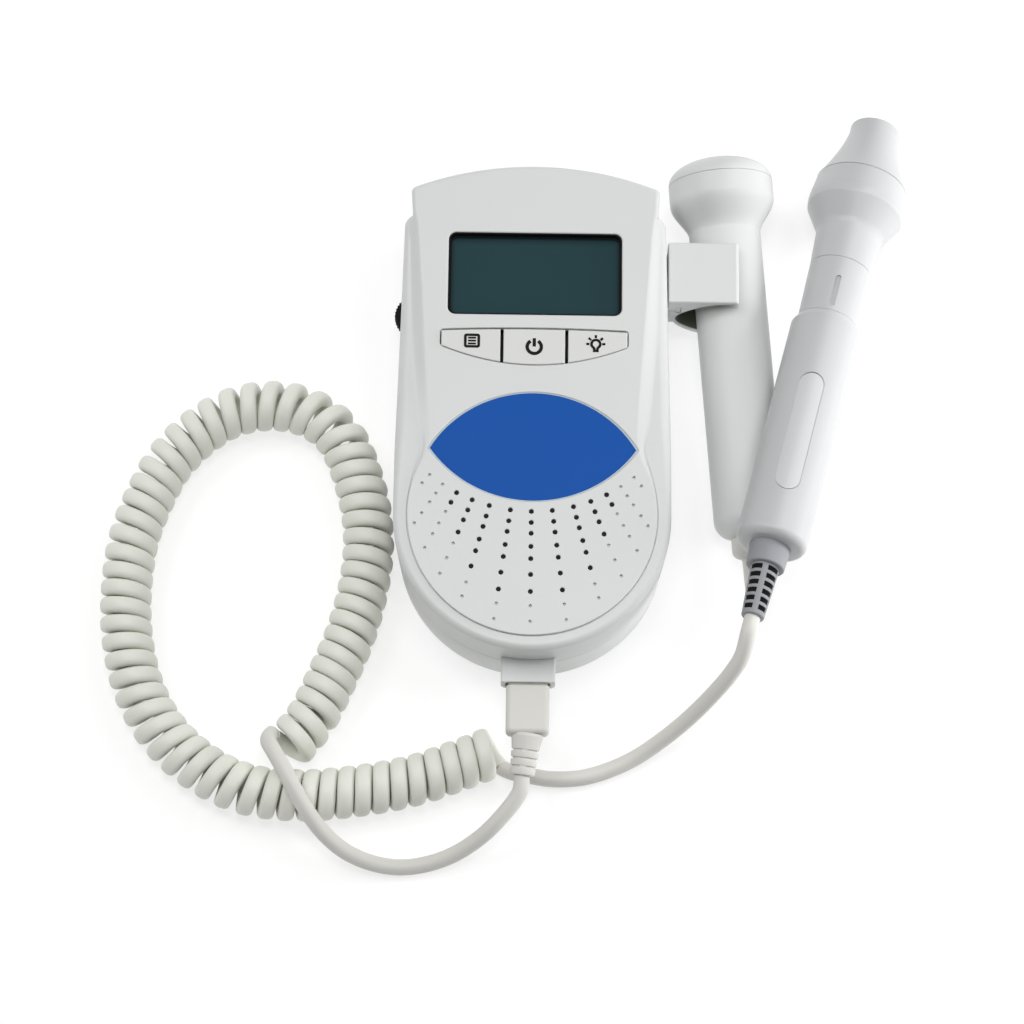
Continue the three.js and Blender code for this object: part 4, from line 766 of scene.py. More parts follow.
SCREEN_HALF = (22.8, 11.5)
SCREEN_Y = 35.8
SCREEN_CORNER = 2.0
SCREEN_FLARE = 0.45
BAR_HALF = 24.6
BAR_TOP_Y = 20.0
BAR_TOP_RISE = 0.6
BAR_END_Y = 15.4
BAR_BOTTOM_Y = 10.2
BAR_CORNER = 1.3
FLARE = 0.25
FLARE_STEPS = 5
LABEL_HALF = 27.3
LABEL_TIP_Y = -12.8
LABEL_TOP_RISE = 15.6
LABEL_BOTTOM_DROP = 14.3
LABEL_RECESS = 0.8
FAN_CENTRE_Y = 11.5
FAN_REACH = 70.6
FAN_ROW_SHARES = (0.584, 0.626, 0.667, 0.717, 0.763, 0.823, 0.887, 0.941, 1)
FAN_ANGLES = (0, 7.5, 15.2, 21.7, 27.9, 33.8, 39.7)
FAN_X = -0.25
OPEN_HOLE_COUNTS = (7, 7, 6, 4, 2, 0, 0)
ALL_HOLE_COUNTS = (9, 9, 8, 7, 6, 5, 2)
OPEN_HOLE_RADIUS = 0.65
BLIND_HOLE_RADIUS = 0.4
BLIND_HOLE_DEPTH = 0.8
CLOTH_DROP = 0.3
CLOTH_THICK = 0.5
CLOTH_ROUND = 0.15
HOLE_SIDES = 16
HOLE_EDGE = 0.12


def screen_outline(border=0.0, corner=SCREEN_CORNER):
    return rounded_rect(SCREEN_HALF[0] + border, SCREEN_HALF[1] + border, corner) + (0, SCREEN_Y)


def bar_outline(inset=0.0, x0=-BAR_HALF, x1=BAR_HALF, ends=(True, True), steps=28):
    """The key bar's outline between two places: arched on top, sagging below, its outer corners rounded."""
    drop = BAR_END_Y - BAR_BOTTOM_Y
    xs = np.linspace(x0 + inset, x1 - inset, steps + 1)
    low = BAR_BOTTOM_Y + inset + drop * (xs / BAR_HALF) ** 2
    high = BAR_TOP_Y - inset + BAR_TOP_RISE * (1 - (xs / BAR_HALF) ** 2)
    line = np.vstack((np.column_stack((xs, low)), np.column_stack((xs, high))[::-1]))
    radii = np.zeros(len(line))
    radii[[0, -1]] = max(BAR_CORNER - inset, GAP) * ends[0]
    radii[[steps, steps + 1]] = max(BAR_CORNER - inset, GAP) * ends[1]
    return filleted(line, radii, closed=True)


def label_outline(inset=0.0, steps=48):
    half = LABEL_HALF - inset * 2
    rise, drop = LABEL_TOP_RISE - inset, LABEL_BOTTOM_DROP - inset
    upper = (half ** 2 + rise ** 2) / (2 * rise)
    lower = (half ** 2 + drop ** 2) / (2 * drop)
    xs = np.linspace(-half, half, steps + 1)
    low = np.column_stack((xs, LABEL_TIP_Y - drop + lower - np.sqrt(lower ** 2 - xs ** 2)))
    high = np.column_stack((xs, LABEL_TIP_Y + rise - upper + np.sqrt(upper ** 2 - xs ** 2)))[::-1]
    return np.vstack((low[:-1], high[:-1]))


def flared(outline_at, z0, flare):
    """A cutter that widens towards the face, so that the opening's edge comes out rounded."""
    section = [(flare * inward, FACE_Z - flare * down) for inward, down in rounding(FLARE_STEPS)]
    return stacked(outline_at, [(0.0, z0), *section, (flare, FACE_Z + OVERRUN)])


def hole(x, y, radius, depth):
    profile = [(0, FACE_Z - depth), (radius, FACE_Z - depth), (radius, FACE_Z - HOLE_EDGE),
               (radius + HOLE_EDGE, FACE_Z), (radius + HOLE_EDGE, FACE_Z + OVERRUN), (0, FACE_Z + OVERRUN)]
    return moved(turned(profile, HOLE_SIDES), (x, y, 0))


def grille_places():
    """Each mark of the fan as (x, y, whether it is an open hole)."""
    places = []
    for degrees, open_count, count in zip(FAN_ANGLES, OPEN_HOLE_COUNTS, ALL_HOLE_COUNTS):
        angle = math.radians(degrees)
        for side in (1, -1) if degrees else (1,):
            for row in range(count):
                reach = FAN_REACH * FAN_ROW_SHARES[row]
                x, y = FAN_X + side * reach * math.sin(angle), FAN_CENTRE_Y - reach * math.cos(angle)
                places.append((x, y, row < open_count))
    return places


def grille_holes():
    return joined(*[hole(x, y, OPEN_HOLE_RADIUS if is_open else BLIND_HOLE_RADIUS,
                         FACE_WALL + OVERRUN if is_open else BLIND_HOLE_DEPTH)
                    for x, y, is_open in grille_places()])


def grille_cloth_and_shade():
    """Black speaker cloth drawn up into the open holes from behind: painted shade that fills the holes."""
    radius, top, foot = OPEN_HOLE_RADIUS - SEAT_GAP, FACE_Z - CLOTH_DROP, CEILING_Z - CLOTH_THICK
    bump = [(0, foot), (radius, foot), (radius, top - CLOTH_ROUND), (radius * 0.8, top - CLOTH_ROUND / 5),
            (0, top)]
    bumps = [moved(turned(bump, HOLE_SIDES), (x, y, 0)) for x, y, is_open in grille_places() if is_open]
    piece("speaker_cloth_and_hole_shade", joined(*bumps), "case", "black_plastic", CLOTH_AND_SHADE)


# Openings in the walls, and the rail

SOCKET_X = -0.5
SOCKET_HALF = 7.0
SOCKET_Z = (13.6, 21.0)
SOCKET_Y = (-71.8, -58.0)
SOCKET_CORNERS = (3.0, 0.5)
SOCKET_OPENING = (5.75, 14.3, 19.7)
SOCKET_OPENING_CORNER = 1.0
SOCKET_BACK = 3.0
SOCKET_EDGE = 0.25
JACK_X = -22.0
JACK_Z = 22.8
JACK_RING = 2.7
WHEEL_X = -31.2446
WHEEL_Y = 30.0
WHEEL_Z = (13.2, 16.0)
WHEEL_RADIUS = 6.0
WHEEL_SLOT = 0.6
WHEEL_TEETH = 40
TOOTH_POINTS = 4
TOOTH_DEPTH = 0.3
WHEEL_BEVEL = 0.3
WHEEL_BEVEL_SHARE = 0.95
WHEEL_SHARP_DEGREES = 60
RAIL_Z = 22.4
RAIL_Y = (30.3, 44.6)
RAIL_ROOT = 34.4
RAIL_TIP = 38.743
RAIL_HEAD_DEPTH = 1.2
RAIL_STEM_HALF = 1.0
RAIL_HEAD_HALF = 2.0
RAIL_CLEAR = 0.12
SLOT_ROOT = 34.0


def socket_outline(outward=0.0):
    """The shroud of the socket seen along Y, with well rounded lower corners."""
    half, low, high = SOCKET_HALF + outward, SOCKET_Z[0] - outward, SOCKET_Z[1] + outward
    foot, top = SOCKET_CORNERS
    corners = [(-half, low), (half, low), (half, high), (-half, high)]
    return filleted(corners, [foot, foot, top, top], closed=True) + (SOCKET_X, 0)


def socket_cut():
    return along_y(prism(socket_outline(SEAT_GAP), *SOCKET_Y))


def jack_cut():
    form = cylinder(JACK_RING + GAP, CAP_END_Y - 2 * WALL, CAP_END_Y + CAP_RISE, SMALL_SIDES)
    return moved(along_y(form), (JACK_X, 0, JACK_Z))


def wheel_cut():
    form = cylinder(WHEEL_RADIUS + WHEEL_SLOT, WHEEL_Z[0] - WHEEL_SLOT, PARTING_Z)
    return moved(form, (WHEEL_X, WHEEL_Y, 0))


def rail(root, y0, y1, clear=0.0):
    """The holder's T-shaped rail, or the slot for it where there is some clearance."""
    tip = RAIL_TIP + clear
    neck = tip - RAIL_HEAD_DEPTH - 2 * clear
    stem, head = RAIL_STEM_HALF + clear, RAIL_HEAD_HALF + clear
    outline = [(root, -stem), (neck, -stem), (neck, -head), (tip, -head), (tip, head), (neck, head),
               (neck, stem), (root, stem)]
    return moved(along_y(prism(outline, y0, y1)), (0, 0, RAIL_Z))


def front_shell():
    shell = as_object("case_front", *case_front())
    carved(shell, prism(case_outline(WALL + DRAFT / 2), PARTING_Z - OVERRUN, ROOM_TOP_Z))
    carved(shell, prism(face_outline(WALL + OVERRUN), ROOM_TOP_Z - OVERRUN, CEILING_Z))
    carved(shell, rail(RAIL_ROOT, *RAIL_Y), "UNION")
    low = CEILING_Z - OVERRUN
    carved(shell, flared(lambda out: screen_outline(out, SCREEN_CORNER + out), low, SCREEN_FLARE))
    carved(shell, flared(lambda out: bar_outline(-out), low, FLARE))
    carved(shell, flared(lambda out: label_outline(-out), FACE_Z - LABEL_RECESS, FLARE))
    for cut in (grille_holes(), socket_cut(), jack_cut()):
        carved(shell, cut)
    dressed(soften(shell), "case", "case", BODY, "front_shell")


# Rear half of the case

BOX_HALF = 14.9
BOX_Y = (5.6, 60.9)
BOX_WALL = 1.5
BOX_ROOF_Z = 18.2
COVER_HALF = 16.2
COVER_FROM_Y = 3.4
COVER_THICK = 1.8
TONGUE_REACH = 1.1
TONGUE_Z = (0.8, 1.5)
FLOOR_Z = COVER_THICK + GAP
SCREW_SPOTS = ((28.0, 45.4), (22.026, -50.024))
BOSS_RADIUS = 3.2
SCREW_HOLE = 2.7
SCREW_SINK = 6.0
BACK_STEPS = 7


def case_back():
    high = PARTING_Z - SEAM / 2
    rings = [drafted(BACK_ROUND * inset, BACK_ROUND * up) for up, inset in rounding(BACK_STEPS)]
    rings += [drafted(0, high - EDGE_ROUND), drafted(EDGE_BREAK, high - EDGE_BREAK),
              drafted(EDGE_ROUND, high)]
    return loft(rings)


def cover_opening(reach, z0, z1):
    half = COVER_HALF + reach
    return block(-half, half, COVER_FROM_Y, CAP_END_Y + CAP_RISE + OVERRUN, z0, z1)


def rear_shell():
    shell = as_object("case_rear", *case_back())
    carved(shell, prism(case_outline(WALL + DRAFT), WALL, PARTING_Z + OVERRUN))
    outer = BOX_HALF + BOX_WALL
    box_y = (BOX_Y[0] - BOX_WALL, BOX_Y[1] + BOX_WALL)
    carved(shell, block(-outer, outer, *box_y, WALL / 2, BOX_ROOF_Z + BOX_WALL), "UNION")
    carved(shell, cover_opening(0, -OVERRUN, FLOOR_Z))
    carved(shell, cover_opening(TONGUE_REACH, TONGUE_Z[0] - GAP, TONGUE_Z[1] + GAP))
    carved(shell, block(-BOX_HALF, BOX_HALF, *BOX_Y, FLOOR_Z - OVERRUN, BOX_ROOF_Z))
    boss = cylinder(BOSS_RADIUS, WALL / 2, PARTING_Z - GAP, SMALL_SIDES)
    sink = turned([(0, -OVERRUN), (SCREW_HOLE + GAP, -OVERRUN), (SCREW_HOLE + GAP, 0), (SCREW_HOLE, GAP),
                   (SCREW_HOLE, SCREW_SINK), (0, SCREW_SINK)], SMALL_SIDES)
    for x, y in [(side * x, y) for x, y in SCREW_SPOTS for side in (1, -1)]:
        carved(shell, moved(boss, (x, y, 0)), "UNION")
        carved(shell, moved(sink, (x, y, 0)))
    for cut in (socket_cut(), jack_cut(), wheel_cut()):
        carved(shell, cut)
    dressed(soften(shell), "case", "case", BODY, "rear_shell")


# Screen

WINDOW_BORDER = 2.0
WINDOW_THICK = 1.3
WINDOW_EDGE = 0.15
LINER_DROP = 0.3
LINER_WALL = 0.35
LINER_FOOT = 0.7


def screen():
    top = CEILING_Z - GAP
    glass = [(WINDOW_BORDER, top - WINDOW_THICK), (WINDOW_BORDER, top - WINDOW_EDGE),
             (WINDOW_BORDER - WINDOW_EDGE, top)]
    piece("screen_window", stacked(screen_outline, glass), "case", "screen", WINDOW, "screen_lens")
    # A black liner on the walls of the window's recess: painted shade inside the recess.
    low, high = top + SEAT_GAP, FACE_Z - LINER_DROP
    liner = [(-SEAT_GAP, low), (-SEAT_GAP, high - 0.05), (-0.1, high), (-LINER_WALL, high - 0.1),
             (-LINER_WALL, low + 0.3), (-LINER_FOOT, low + 0.15), (-LINER_FOOT, low)]
    piece("screen_recess_shade", stacked(screen_outline, liner, closed=True), "case", "black_plastic", BLACK_AND_SHADE)


# Keys

BUTTON_SPLIT = 8.45
BUTTON_SPLIT_GAP = 0.8
BUTTON_PROUD = 0.3
KEY_ROUND = 0.3
KEY_STEPS = 5
KEY_TOP_Z = FACE_Z + BUTTON_PROUD
KEY_FOOT_Z = 29.5
KEY_DROP = 0.2
FLANGE_TOP_Z = 30.7
FLANGE = 0.9
ICON_RISE = 0.06
ICON_SINK = 0.05
SPLIT_IN = BUTTON_SPLIT - BUTTON_SPLIT_GAP / 2 + GAP
SPLIT_OUT = BUTTON_SPLIT + BUTTON_SPLIT_GAP / 2 - GAP
BUTTON_SPANS = {"menu": (-BAR_HALF, -SPLIT_OUT), "power": (-SPLIT_IN, SPLIT_IN),
                "light": (SPLIT_OUT, BAR_HALF)}


def key_form(x0, x1):
    """A key with a rounded top edge, on a flange that holds it under the face."""
    drop = (0, -KEY_DROP)
    ends = (x0 <= -BAR_HALF, x1 >= BAR_HALF)
    foot = bar_outline(-FLANGE, x0 + 2 * FLANGE, x1 - 2 * FLANGE, ends) + drop
    rings = [level(foot, KEY_FOOT_Z), level(foot, FLANGE_TOP_Z),
             level(bar_outline(GAP, x0, x1, ends) + drop, FLANGE_TOP_Z)]
    for inward, down in rounding(KEY_STEPS):
        outline = bar_outline(GAP + KEY_ROUND * inward, x0, x1, ends)
        rings.append(level(outline + drop, KEY_TOP_Z - KEY_ROUND * down))
    return loft(rings)


def stroke(points, width, closed=False):
    """A flat raised line through points in the plane of the key's top."""
    points = np.asarray(points, float)
    ahead = np.roll(points, -1, axis=0) - points
    if not closed:
        ahead[-1] = ahead[-2]
    ahead = units(ahead)
    behind = np.roll(ahead, 1, axis=0)
    if not closed:
        behind[0] = ahead[0]
    along = units(ahead + behind)
    side = np.column_stack((-along[:, 1], along[:, 0]))
    reach = width / 2 / np.maximum((along * ahead).sum(axis=1), 0.5)
    left, right = points + side * reach[:, None], points - side * reach[:, None]
    low, high = KEY_TOP_Z - ICON_SINK, KEY_TOP_Z + ICON_RISE
    corners = np.stack([level(right, low), level(left, low), level(left, high), level(right, high)], axis=1)
    return loft([corner[::-1] for corner in corners], closed)


def menu_icon(x, y):
    """A framed list."""
    half, pitch = 1.05, 0.8
    frame_line = rounded_rect(1.75, 1.6, 0.35, 4) + (x, y)
    bars = [stroke([(x - half, y + k * pitch), (x + half, y + k * pitch)], 0.5) for k in (-1, 0, 1)]
    return joined(stroke(frame_line, 0.7, closed=True), *bars)


def power_icon(x, y):
    """A ring that is open at the top, with a stem in the opening."""
    ring_radius, opening = 1.85, math.radians(32)
    ring = arc((x, y), ring_radius, QUARTER_TURN + opening, QUARTER_TURN + FULL_TURN - opening, 36)
    return joined(stroke(ring, 0.9), stroke([(x, y + 0.1), (x, y + 2.4)], 0.85))


def lamp_icon(x, y):
    """A bulb with five rays."""
    neck, neck_y, foot_y = 0.42, y - 1.25, y - 1.9
    bulb = arc((x, y), 1.15, math.radians(-55), math.radians(235), 20)
    line = [(x + neck, foot_y), (x + neck, neck_y), *bulb, (x - neck, neck_y), (x - neck, foot_y)]
    rays = []
    for degrees in (0, 42, 90, 138, 180):
        way = np.array((math.cos(math.radians(degrees)), math.sin(math.radians(degrees))))
        rays.append(stroke([(x, y) + way * 1.65, (x, y) + way * 2.5], 0.62))
    return joined(stroke(line, 0.68, closed=True), *rays)


ICON_PLACES = {"menu": (menu_icon, -16.25, 16.65), "power": (power_icon, 0.0, 15.15),
               "light": (lamp_icon, 16.05, 16.15)}


def keys():
    for name, (x0, x1) in BUTTON_SPANS.items():
        icon, x, y = ICON_PLACES[name]
        piece("key_" + name, key_form(x0, x1), name + "_key", "key", KEY, "button_" + name)
        piece("mark_" + name, icon(x, y), name + "_key", "black_plastic", INK)


# Label

LABEL_BORDER = 0.3
LABEL_TOP_DROP = 0.2


def label():
    top, low = FACE_Z - LABEL_TOP_DROP, FACE_Z - LABEL_RECESS
    edge = LABEL_BORDER + SEAT_GAP
    plate = [(edge, low), (edge, top), (LABEL_BORDER + 0.1, top + 0.04)]
    piece("label_plate", stacked(label_outline, plate), "case", "label", LABEL, "face_label")
    border = [(LABEL_BORDER, low), (SEAT_GAP, low), (SEAT_GAP, top - 0.06), (0.08, top),
              (LABEL_BORDER, top)]
    piece("label_border", stacked(label_outline, border, closed=True), "case", "label", BORDER)


# Holder

HOLDER_X0 = 35.25
HOLDER_X1 = 53.9434
HOLDER_Y = (30.1, 47.1)
HOLDER_TOP_Z = 28.3
HOLDER_CORNERS = (0.8, 1.0)
HOLDER_FOOT_CORNER = 0.6
BORE = (51.2434, 15.8)
BORE_RADIUS = 10.7
BORE_STEPS = 60
HOLDER_ARM = 2.0
HOLDER_HEEL = 2.5
HOLDER_EDGE = 0.5
BORE_POINT = 0.27
ARM_POINT = 0.15
ARM_STEPS = 30
POINT_POWER = 3
LINING_THICK = 0.28
LINING_ANGLES = (math.radians(80), math.radians(285))
LINING_STEPS = 40
LINING_INSET = 0.25


def pointed_arc(radius, start, end, steps, point):
    """An arc round the bore's middle, drawn out to a soft point towards the case."""
    return [(BORE[0] + x * (1 + point * max(-x / radius, 0) ** POINT_POWER), BORE[1] + z)
            for x, z in arc((0, 0), radius, start, end, steps)]


def holder_outline():
    """The holder seen along Y: a block with a bore open to the right, and an arm under it."""
    outer = BORE_RADIUS + HOLDER_ARM
    lip, lip_outer = (math.acos((HOLDER_X1 - BORE[0]) / radius) for radius in (BORE_RADIUS, outer))
    heel = HALF_TURN + math.asin(HOLDER_HEEL / outer)
    inner_arc = pointed_arc(BORE_RADIUS, lip, FULL_TURN - lip, BORE_STEPS, BORE_POINT)
    outer_arc = pointed_arc(outer, FULL_TURN - lip_outer, heel, ARM_STEPS, ARM_POINT)
    foot = (HOLDER_X0, outer_arc[-1][1])
    corners = [(HOLDER_X0, HOLDER_TOP_Z), (HOLDER_X1, HOLDER_TOP_Z), *inner_arc, *outer_arc, foot]
    radii = [*HOLDER_CORNERS, *[0.0] * (len(inner_arc) + len(outer_arc)), HOLDER_FOOT_CORNER]
    return filleted(corners, radii, closed=True)


def holder():
    made = as_object("holder", *along_y(prism(holder_outline()[::-1], *HOLDER_Y)))
    bevelled(made, HOLDER_EDGE)
    carved(made, rail(SLOT_ROOT, HOLDER_Y[0] - OVERRUN, HOLDER_Y[1] + OVERRUN, RAIL_CLEAR))
    dressed(soften(made), "holder", "case", BODY, "probe_holder")


def holder_bore_shade():
    """A dark pad that lines the bore: painted shade inside it."""
    outer = pointed_arc(BORE_RADIUS - SEAT_GAP, *LINING_ANGLES, LINING_STEPS, BORE_POINT)
    inner = pointed_arc(BORE_RADIUS - LINING_THICK, *reversed(LINING_ANGLES), LINING_STEPS, BORE_POINT)
    verts, faces = prism([*outer, *inner], HOLDER_Y[0] + LINING_INSET, HOLDER_Y[1] - LINING_INSET)
    form = along_y((verts, [face[::-1] for face in faces]))
    piece("holder_bore_shade", form, "holder", "black_plastic", BORE_SHADE)


# Flat probe

FLAT_HALF = (9.55, 8.6)
FLAT_CORNER = 5.0
FLAT_FLARE = 14.0
FLAT_RIM = 14.0
FLAT_RIM_HEIGHT = 5.0
FLAT_POWER = 2.2
FLAT_SEAM = 100.2
FLAT_DOME = 6.3
FLAT_DOME_POWER = 0.8
FLAT_DOME_STEPS = 16
FLAT_SIDE_SHIFT = 1.9
FLAT_START = 2.5
FLAT_STEPS = 8
FLAT_FLARE_STEPS = 18
FLAT_FLARE_START = -0.06
FLAT_BOOT_SHIFT = 0.8


def flat_ring(wide, thick, z, power=2.0):
    cosines, sines = full_round(FINE_SIDES, power)
    return level(np.column_stack((thick * cosines, wide * sines)), z)


def flat_body():
    """Along Z: a round end, a straight handle, a flare to the head and a small step at the seam."""
    wide, thick = FLAT_HALF
    rings = []
    for along, inset in rounding(FLAT_STEPS):
        edge = FLAT_CORNER * inset
        rings.append(flat_ring(wide - edge, thick - edge, FLAT_START + FLAT_CORNER * along, FLAT_POWER))
    low, neck = rings[-1][0, 2], FLAT_SEAM - FLAT_FLARE
    for i in range(1, FLAT_STEPS + 1):
        rings.append(flat_ring(wide, thick, low + (neck - low) * i / FLAT_STEPS, FLAT_POWER))
    for i in range(1, FLAT_FLARE_STEPS + 1):
        share = i / FLAT_FLARE_STEPS
        bulge = float(smoothstep(share, FLAT_FLARE_START, 1) - smoothstep(0, FLAT_FLARE_START, 1))
        rings.append(flat_ring(wide + (FLAT_RIM - wide) * bulge, thick + (FLAT_RIM - thick) * bulge,
                               neck + (FLAT_FLARE - FLAT_RIM_HEIGHT) * share,
                               FLAT_POWER + (2 - FLAT_POWER) * share))
    for inset, drop in ((0, 0.16), (0.05, 0.06), (0.2, 0.03)):
        rings.append(flat_ring(FLAT_RIM - inset, FLAT_RIM - inset, FLAT_SEAM - drop))
    return loft(rings)


def flat_dome():
    """Up from the seam: a small step, then a flattened dome."""
    dome = [(0, 0), (FLAT_RIM - 0.22, 0), (FLAT_RIM - 0.08, 0.03), (FLAT_RIM - 0.03, 0.14)]
    radius, foot = FLAT_RIM - 0.06, 0.4
    for i in range(FLAT_DOME_STEPS):
        angle = QUARTER_TURN * i / FLAT_DOME_STEPS
        height = foot + (FLAT_DOME - foot) * math.sin(angle)
        dome.append((radius * math.cos(angle) ** FLAT_DOME_POWER, height))
    return turned([*dome, (0, FLAT_DOME)], FINE_SIDES)


def flat_relief():
    """Down from the tail: a collar that runs out into the lead's stub."""
    profile = [(0, -20.0), (1.9, -20.0), (2.15, -3.2), (4.6, -2.2), (4.6, 4.0), (0, 4.0)]
    return turned(filleted(profile, [0, 0.6, 0.8, 2.6, 0, 0]))


def flat_probe():
    ahead = unit(FLAT_HEAD - FLAT_TAIL)
    right = unit(np.cross(ahead, (0, 0, 1)))
    seam = FLAT_TAIL + ahead * FLAT_SEAM
    tail = FLAT_TAIL + right * FLAT_SIDE_SHIFT
    boot = tail - right * FLAT_BOOT_SHIFT
    for name, form, place, slot, material, replaced in (
            ("flat_probe", flat_body(), tail, "case", BODY, "flat_probe_body"),
            ("flat_probe_dome", flat_dome(), seam, "probe", BODY, "flat_probe_face"),
            ("flat_probe_relief", flat_relief(), boot, "lead", LEAD, "flat_probe_boot")):
        piece(name, turned_to(form, place, seam - tail), "flat_probe", slot, material, replaced)


# Pencil probe, along Z from the middle of its head

TIP_END = 27.7
TIP_RADIUS = 6.8
TIP_STRAIGHT = 2.3
TIP_CURVE = 1.45
TIP_STEPS_UP = 16
TIP_RIM = 1.6
LENS_RADIUS = 4.5
LENS_SEAT = 0.6
SHOULDER = 8.7
SHOULDER_R = 12.3
SHOULDER_EDGE = 0.15
RING_RADIUS = 13.1
RING_HALF = 1.2
RING_MIDDLE = 1.4
WAIST = -7.3
WAIST_RADIUS = 8.9
NECK_SEAM = -18.6
SEAM_RADIUS = 8.25
NECK_END = -35.2
NECK_RADIUS = 7.95
STEP = -37.4
HANDLE_RADIUS = 9.25
HANDLE_END = -103.6
HANDLE_ROUND = 2.2
COLLAR_LENGTH = 6.1
COLLAR_RADIUS = 5.0
PROBE_LABEL = (35.3, 6.8)
PROBE_LABEL_TOP = -55.5
PROBE_LABEL_DEPTH = 0.7
PROBE_LABEL_GAP = 0.25
PROBE_LABEL_SINK = 0.12
MARK = (9.6, 1.4)
MARK_TOP = -24.4
MARK_DEPTH = 0.4
BOOT_LENGTH = 14.4
BOOT_RADII = (3.75, 2.95)
BOOT_ROWS = 6
BOOT_SLOT = 1.4
BOOT_PITCH = 2.24
BOOT_MIDDLE = 0.75
BOOT_CORE_DROP = 0.22
BOOT_INSET = 0.5


def pencil_piece(name, form, slot, material, *nodes, cut=None, operation="DIFFERENCE"):
    """A piece of the pencil probe, with a cut along the same axis where one is given."""
    direction = PENCIL_HEAD - PENCIL_TAIL
    made = as_object(name, *turned_to(form, PENCIL_HEAD, direction))
    if cut:
        carved(made, turned_to(cut, PENCIL_HEAD, direction), operation)
    dressed(soften(made), "pencil_probe", slot, material, *nodes)


def oblong(size, top, low, high, inset=0.0, roundness=0.999, steps=16):
    """A form with round ends that stands on the probe's upper side, from low to high off its axis."""
    length, width = size
    half = width / 2 - inset
    verts, faces = prism(rounded_rect(length / 2 - inset, half, half * roundness, steps), low, high)
    return np.column_stack((verts[:, 2], verts[:, 1], -verts[:, 0])) + (0, 0, top - length / 2), faces


def tip_profile():
    """Flares from the shoulder to a straight end with a shallow recess for the lens."""
    flare = TIP_END - TIP_STRAIGHT - SHOULDER
    profile = [(0, SHOULDER), (SHOULDER_R - SHOULDER_EDGE, SHOULDER),
               (SHOULDER_R, SHOULDER + SHOULDER_EDGE)]
    for i in range(1, TIP_STEPS_UP + 1):
        share = i / TIP_STEPS_UP
        spread = (SHOULDER_R - TIP_RADIUS) * (1 - share) ** TIP_CURVE
        profile.append((TIP_RADIUS + spread, SHOULDER + flare * share))
    recess, seat = TIP_RADIUS - TIP_RIM, TIP_END - LENS_SEAT
    end = filleted([(TIP_RADIUS, SHOULDER + flare + 0.5), (TIP_RADIUS, TIP_END), (recess, TIP_END),
                    (recess, seat), (0, seat)], [0, 0.5, 0.25, 0, 0])
    return [*profile, *end]


def probe_tip():
    pencil_piece("probe_tip", turned(tip_profile(), FINE_SIDES), "probe", PROBE, "pencil_probe_tip")
    seat = TIP_END - LENS_SEAT
    lens = filleted([(0, seat), (LENS_RADIUS, seat), (LENS_RADIUS, TIP_END - 0.2), (0, TIP_END + 0.05)],
                    [0, 0, 0.2, 0])
    pencil_piece("probe_lens", turned(lens), "boot", BOOT, "pencil_probe_lens")


def probe_head():
    foot, top = NECK_SEAM + 0.08, SHOULDER - 0.08
    head = [(0, foot), (SEAM_RADIUS - 0.1, foot), (SEAM_RADIUS, NECK_SEAM + 0.25),
            (WAIST_RADIUS, WAIST), (RING_RADIUS - 0.2, RING_MIDDLE - RING_HALF - 0.6),
            (RING_RADIUS, RING_MIDDLE), (RING_RADIUS - 0.1, RING_MIDDLE + RING_HALF + 0.4),
            (SHOULDER_R, SHOULDER - 0.22), (SHOULDER_R - SHOULDER_EDGE, top), (0, top)]
    form = turned(filleted(head, [0, 0, 0, 6.0, 1.3, 0.9, 0.9, 0, 0, 0]), FINE_SIDES)
    pencil_piece("probe_head", form, "probe", PROBE, "pencil_probe_head")


def probe_neck():
    neck = [(0, NECK_END), (NECK_RADIUS, NECK_END), (SEAM_RADIUS, NECK_SEAM - 0.1),
            (SEAM_RADIUS - 0.12, NECK_SEAM), (0, NECK_SEAM)]
    mark = oblong(MARK, MARK_TOP, NECK_RADIUS - MARK_DEPTH, HANDLE_RADIUS, roundness=0.99, steps=8)
    pencil_piece("probe_neck", turned(neck, FINE_SIDES), "probe", PROBE, "pencil_probe_neck", cut=mark)


def probe_handle():
    """The handle with its step at the neck, and its label's recess filled by the bare label."""
    top = NECK_END - 0.1
    handle = filleted([(0, HANDLE_END), (HANDLE_RADIUS, HANDLE_END), (HANDLE_RADIUS, STEP),
                       (NECK_RADIUS + 0.05, top), (0, top)], [0, HANDLE_ROUND, 0.8, 0, 0], steps=8)
    low, high = HANDLE_RADIUS - PROBE_LABEL_DEPTH, HANDLE_RADIUS + OVERRUN
    recess = oblong(PROBE_LABEL, PROBE_LABEL_TOP, low, high)
    pencil_piece("probe_handle", turned(handle, FINE_SIDES), "probe", PROBE, "pencil_probe_handle",
                 cut=recess)
    plate = oblong(PROBE_LABEL, PROBE_LABEL_TOP, low, high, PROBE_LABEL_GAP)
    skin = cylinder(HANDLE_RADIUS - PROBE_LABEL_SINK, HANDLE_END, STEP, FINE_SIDES)
    pencil_piece("probe_label", plate, "case", FILM, "pencil_probe_label",
                 cut=skin, operation="INTERSECT")


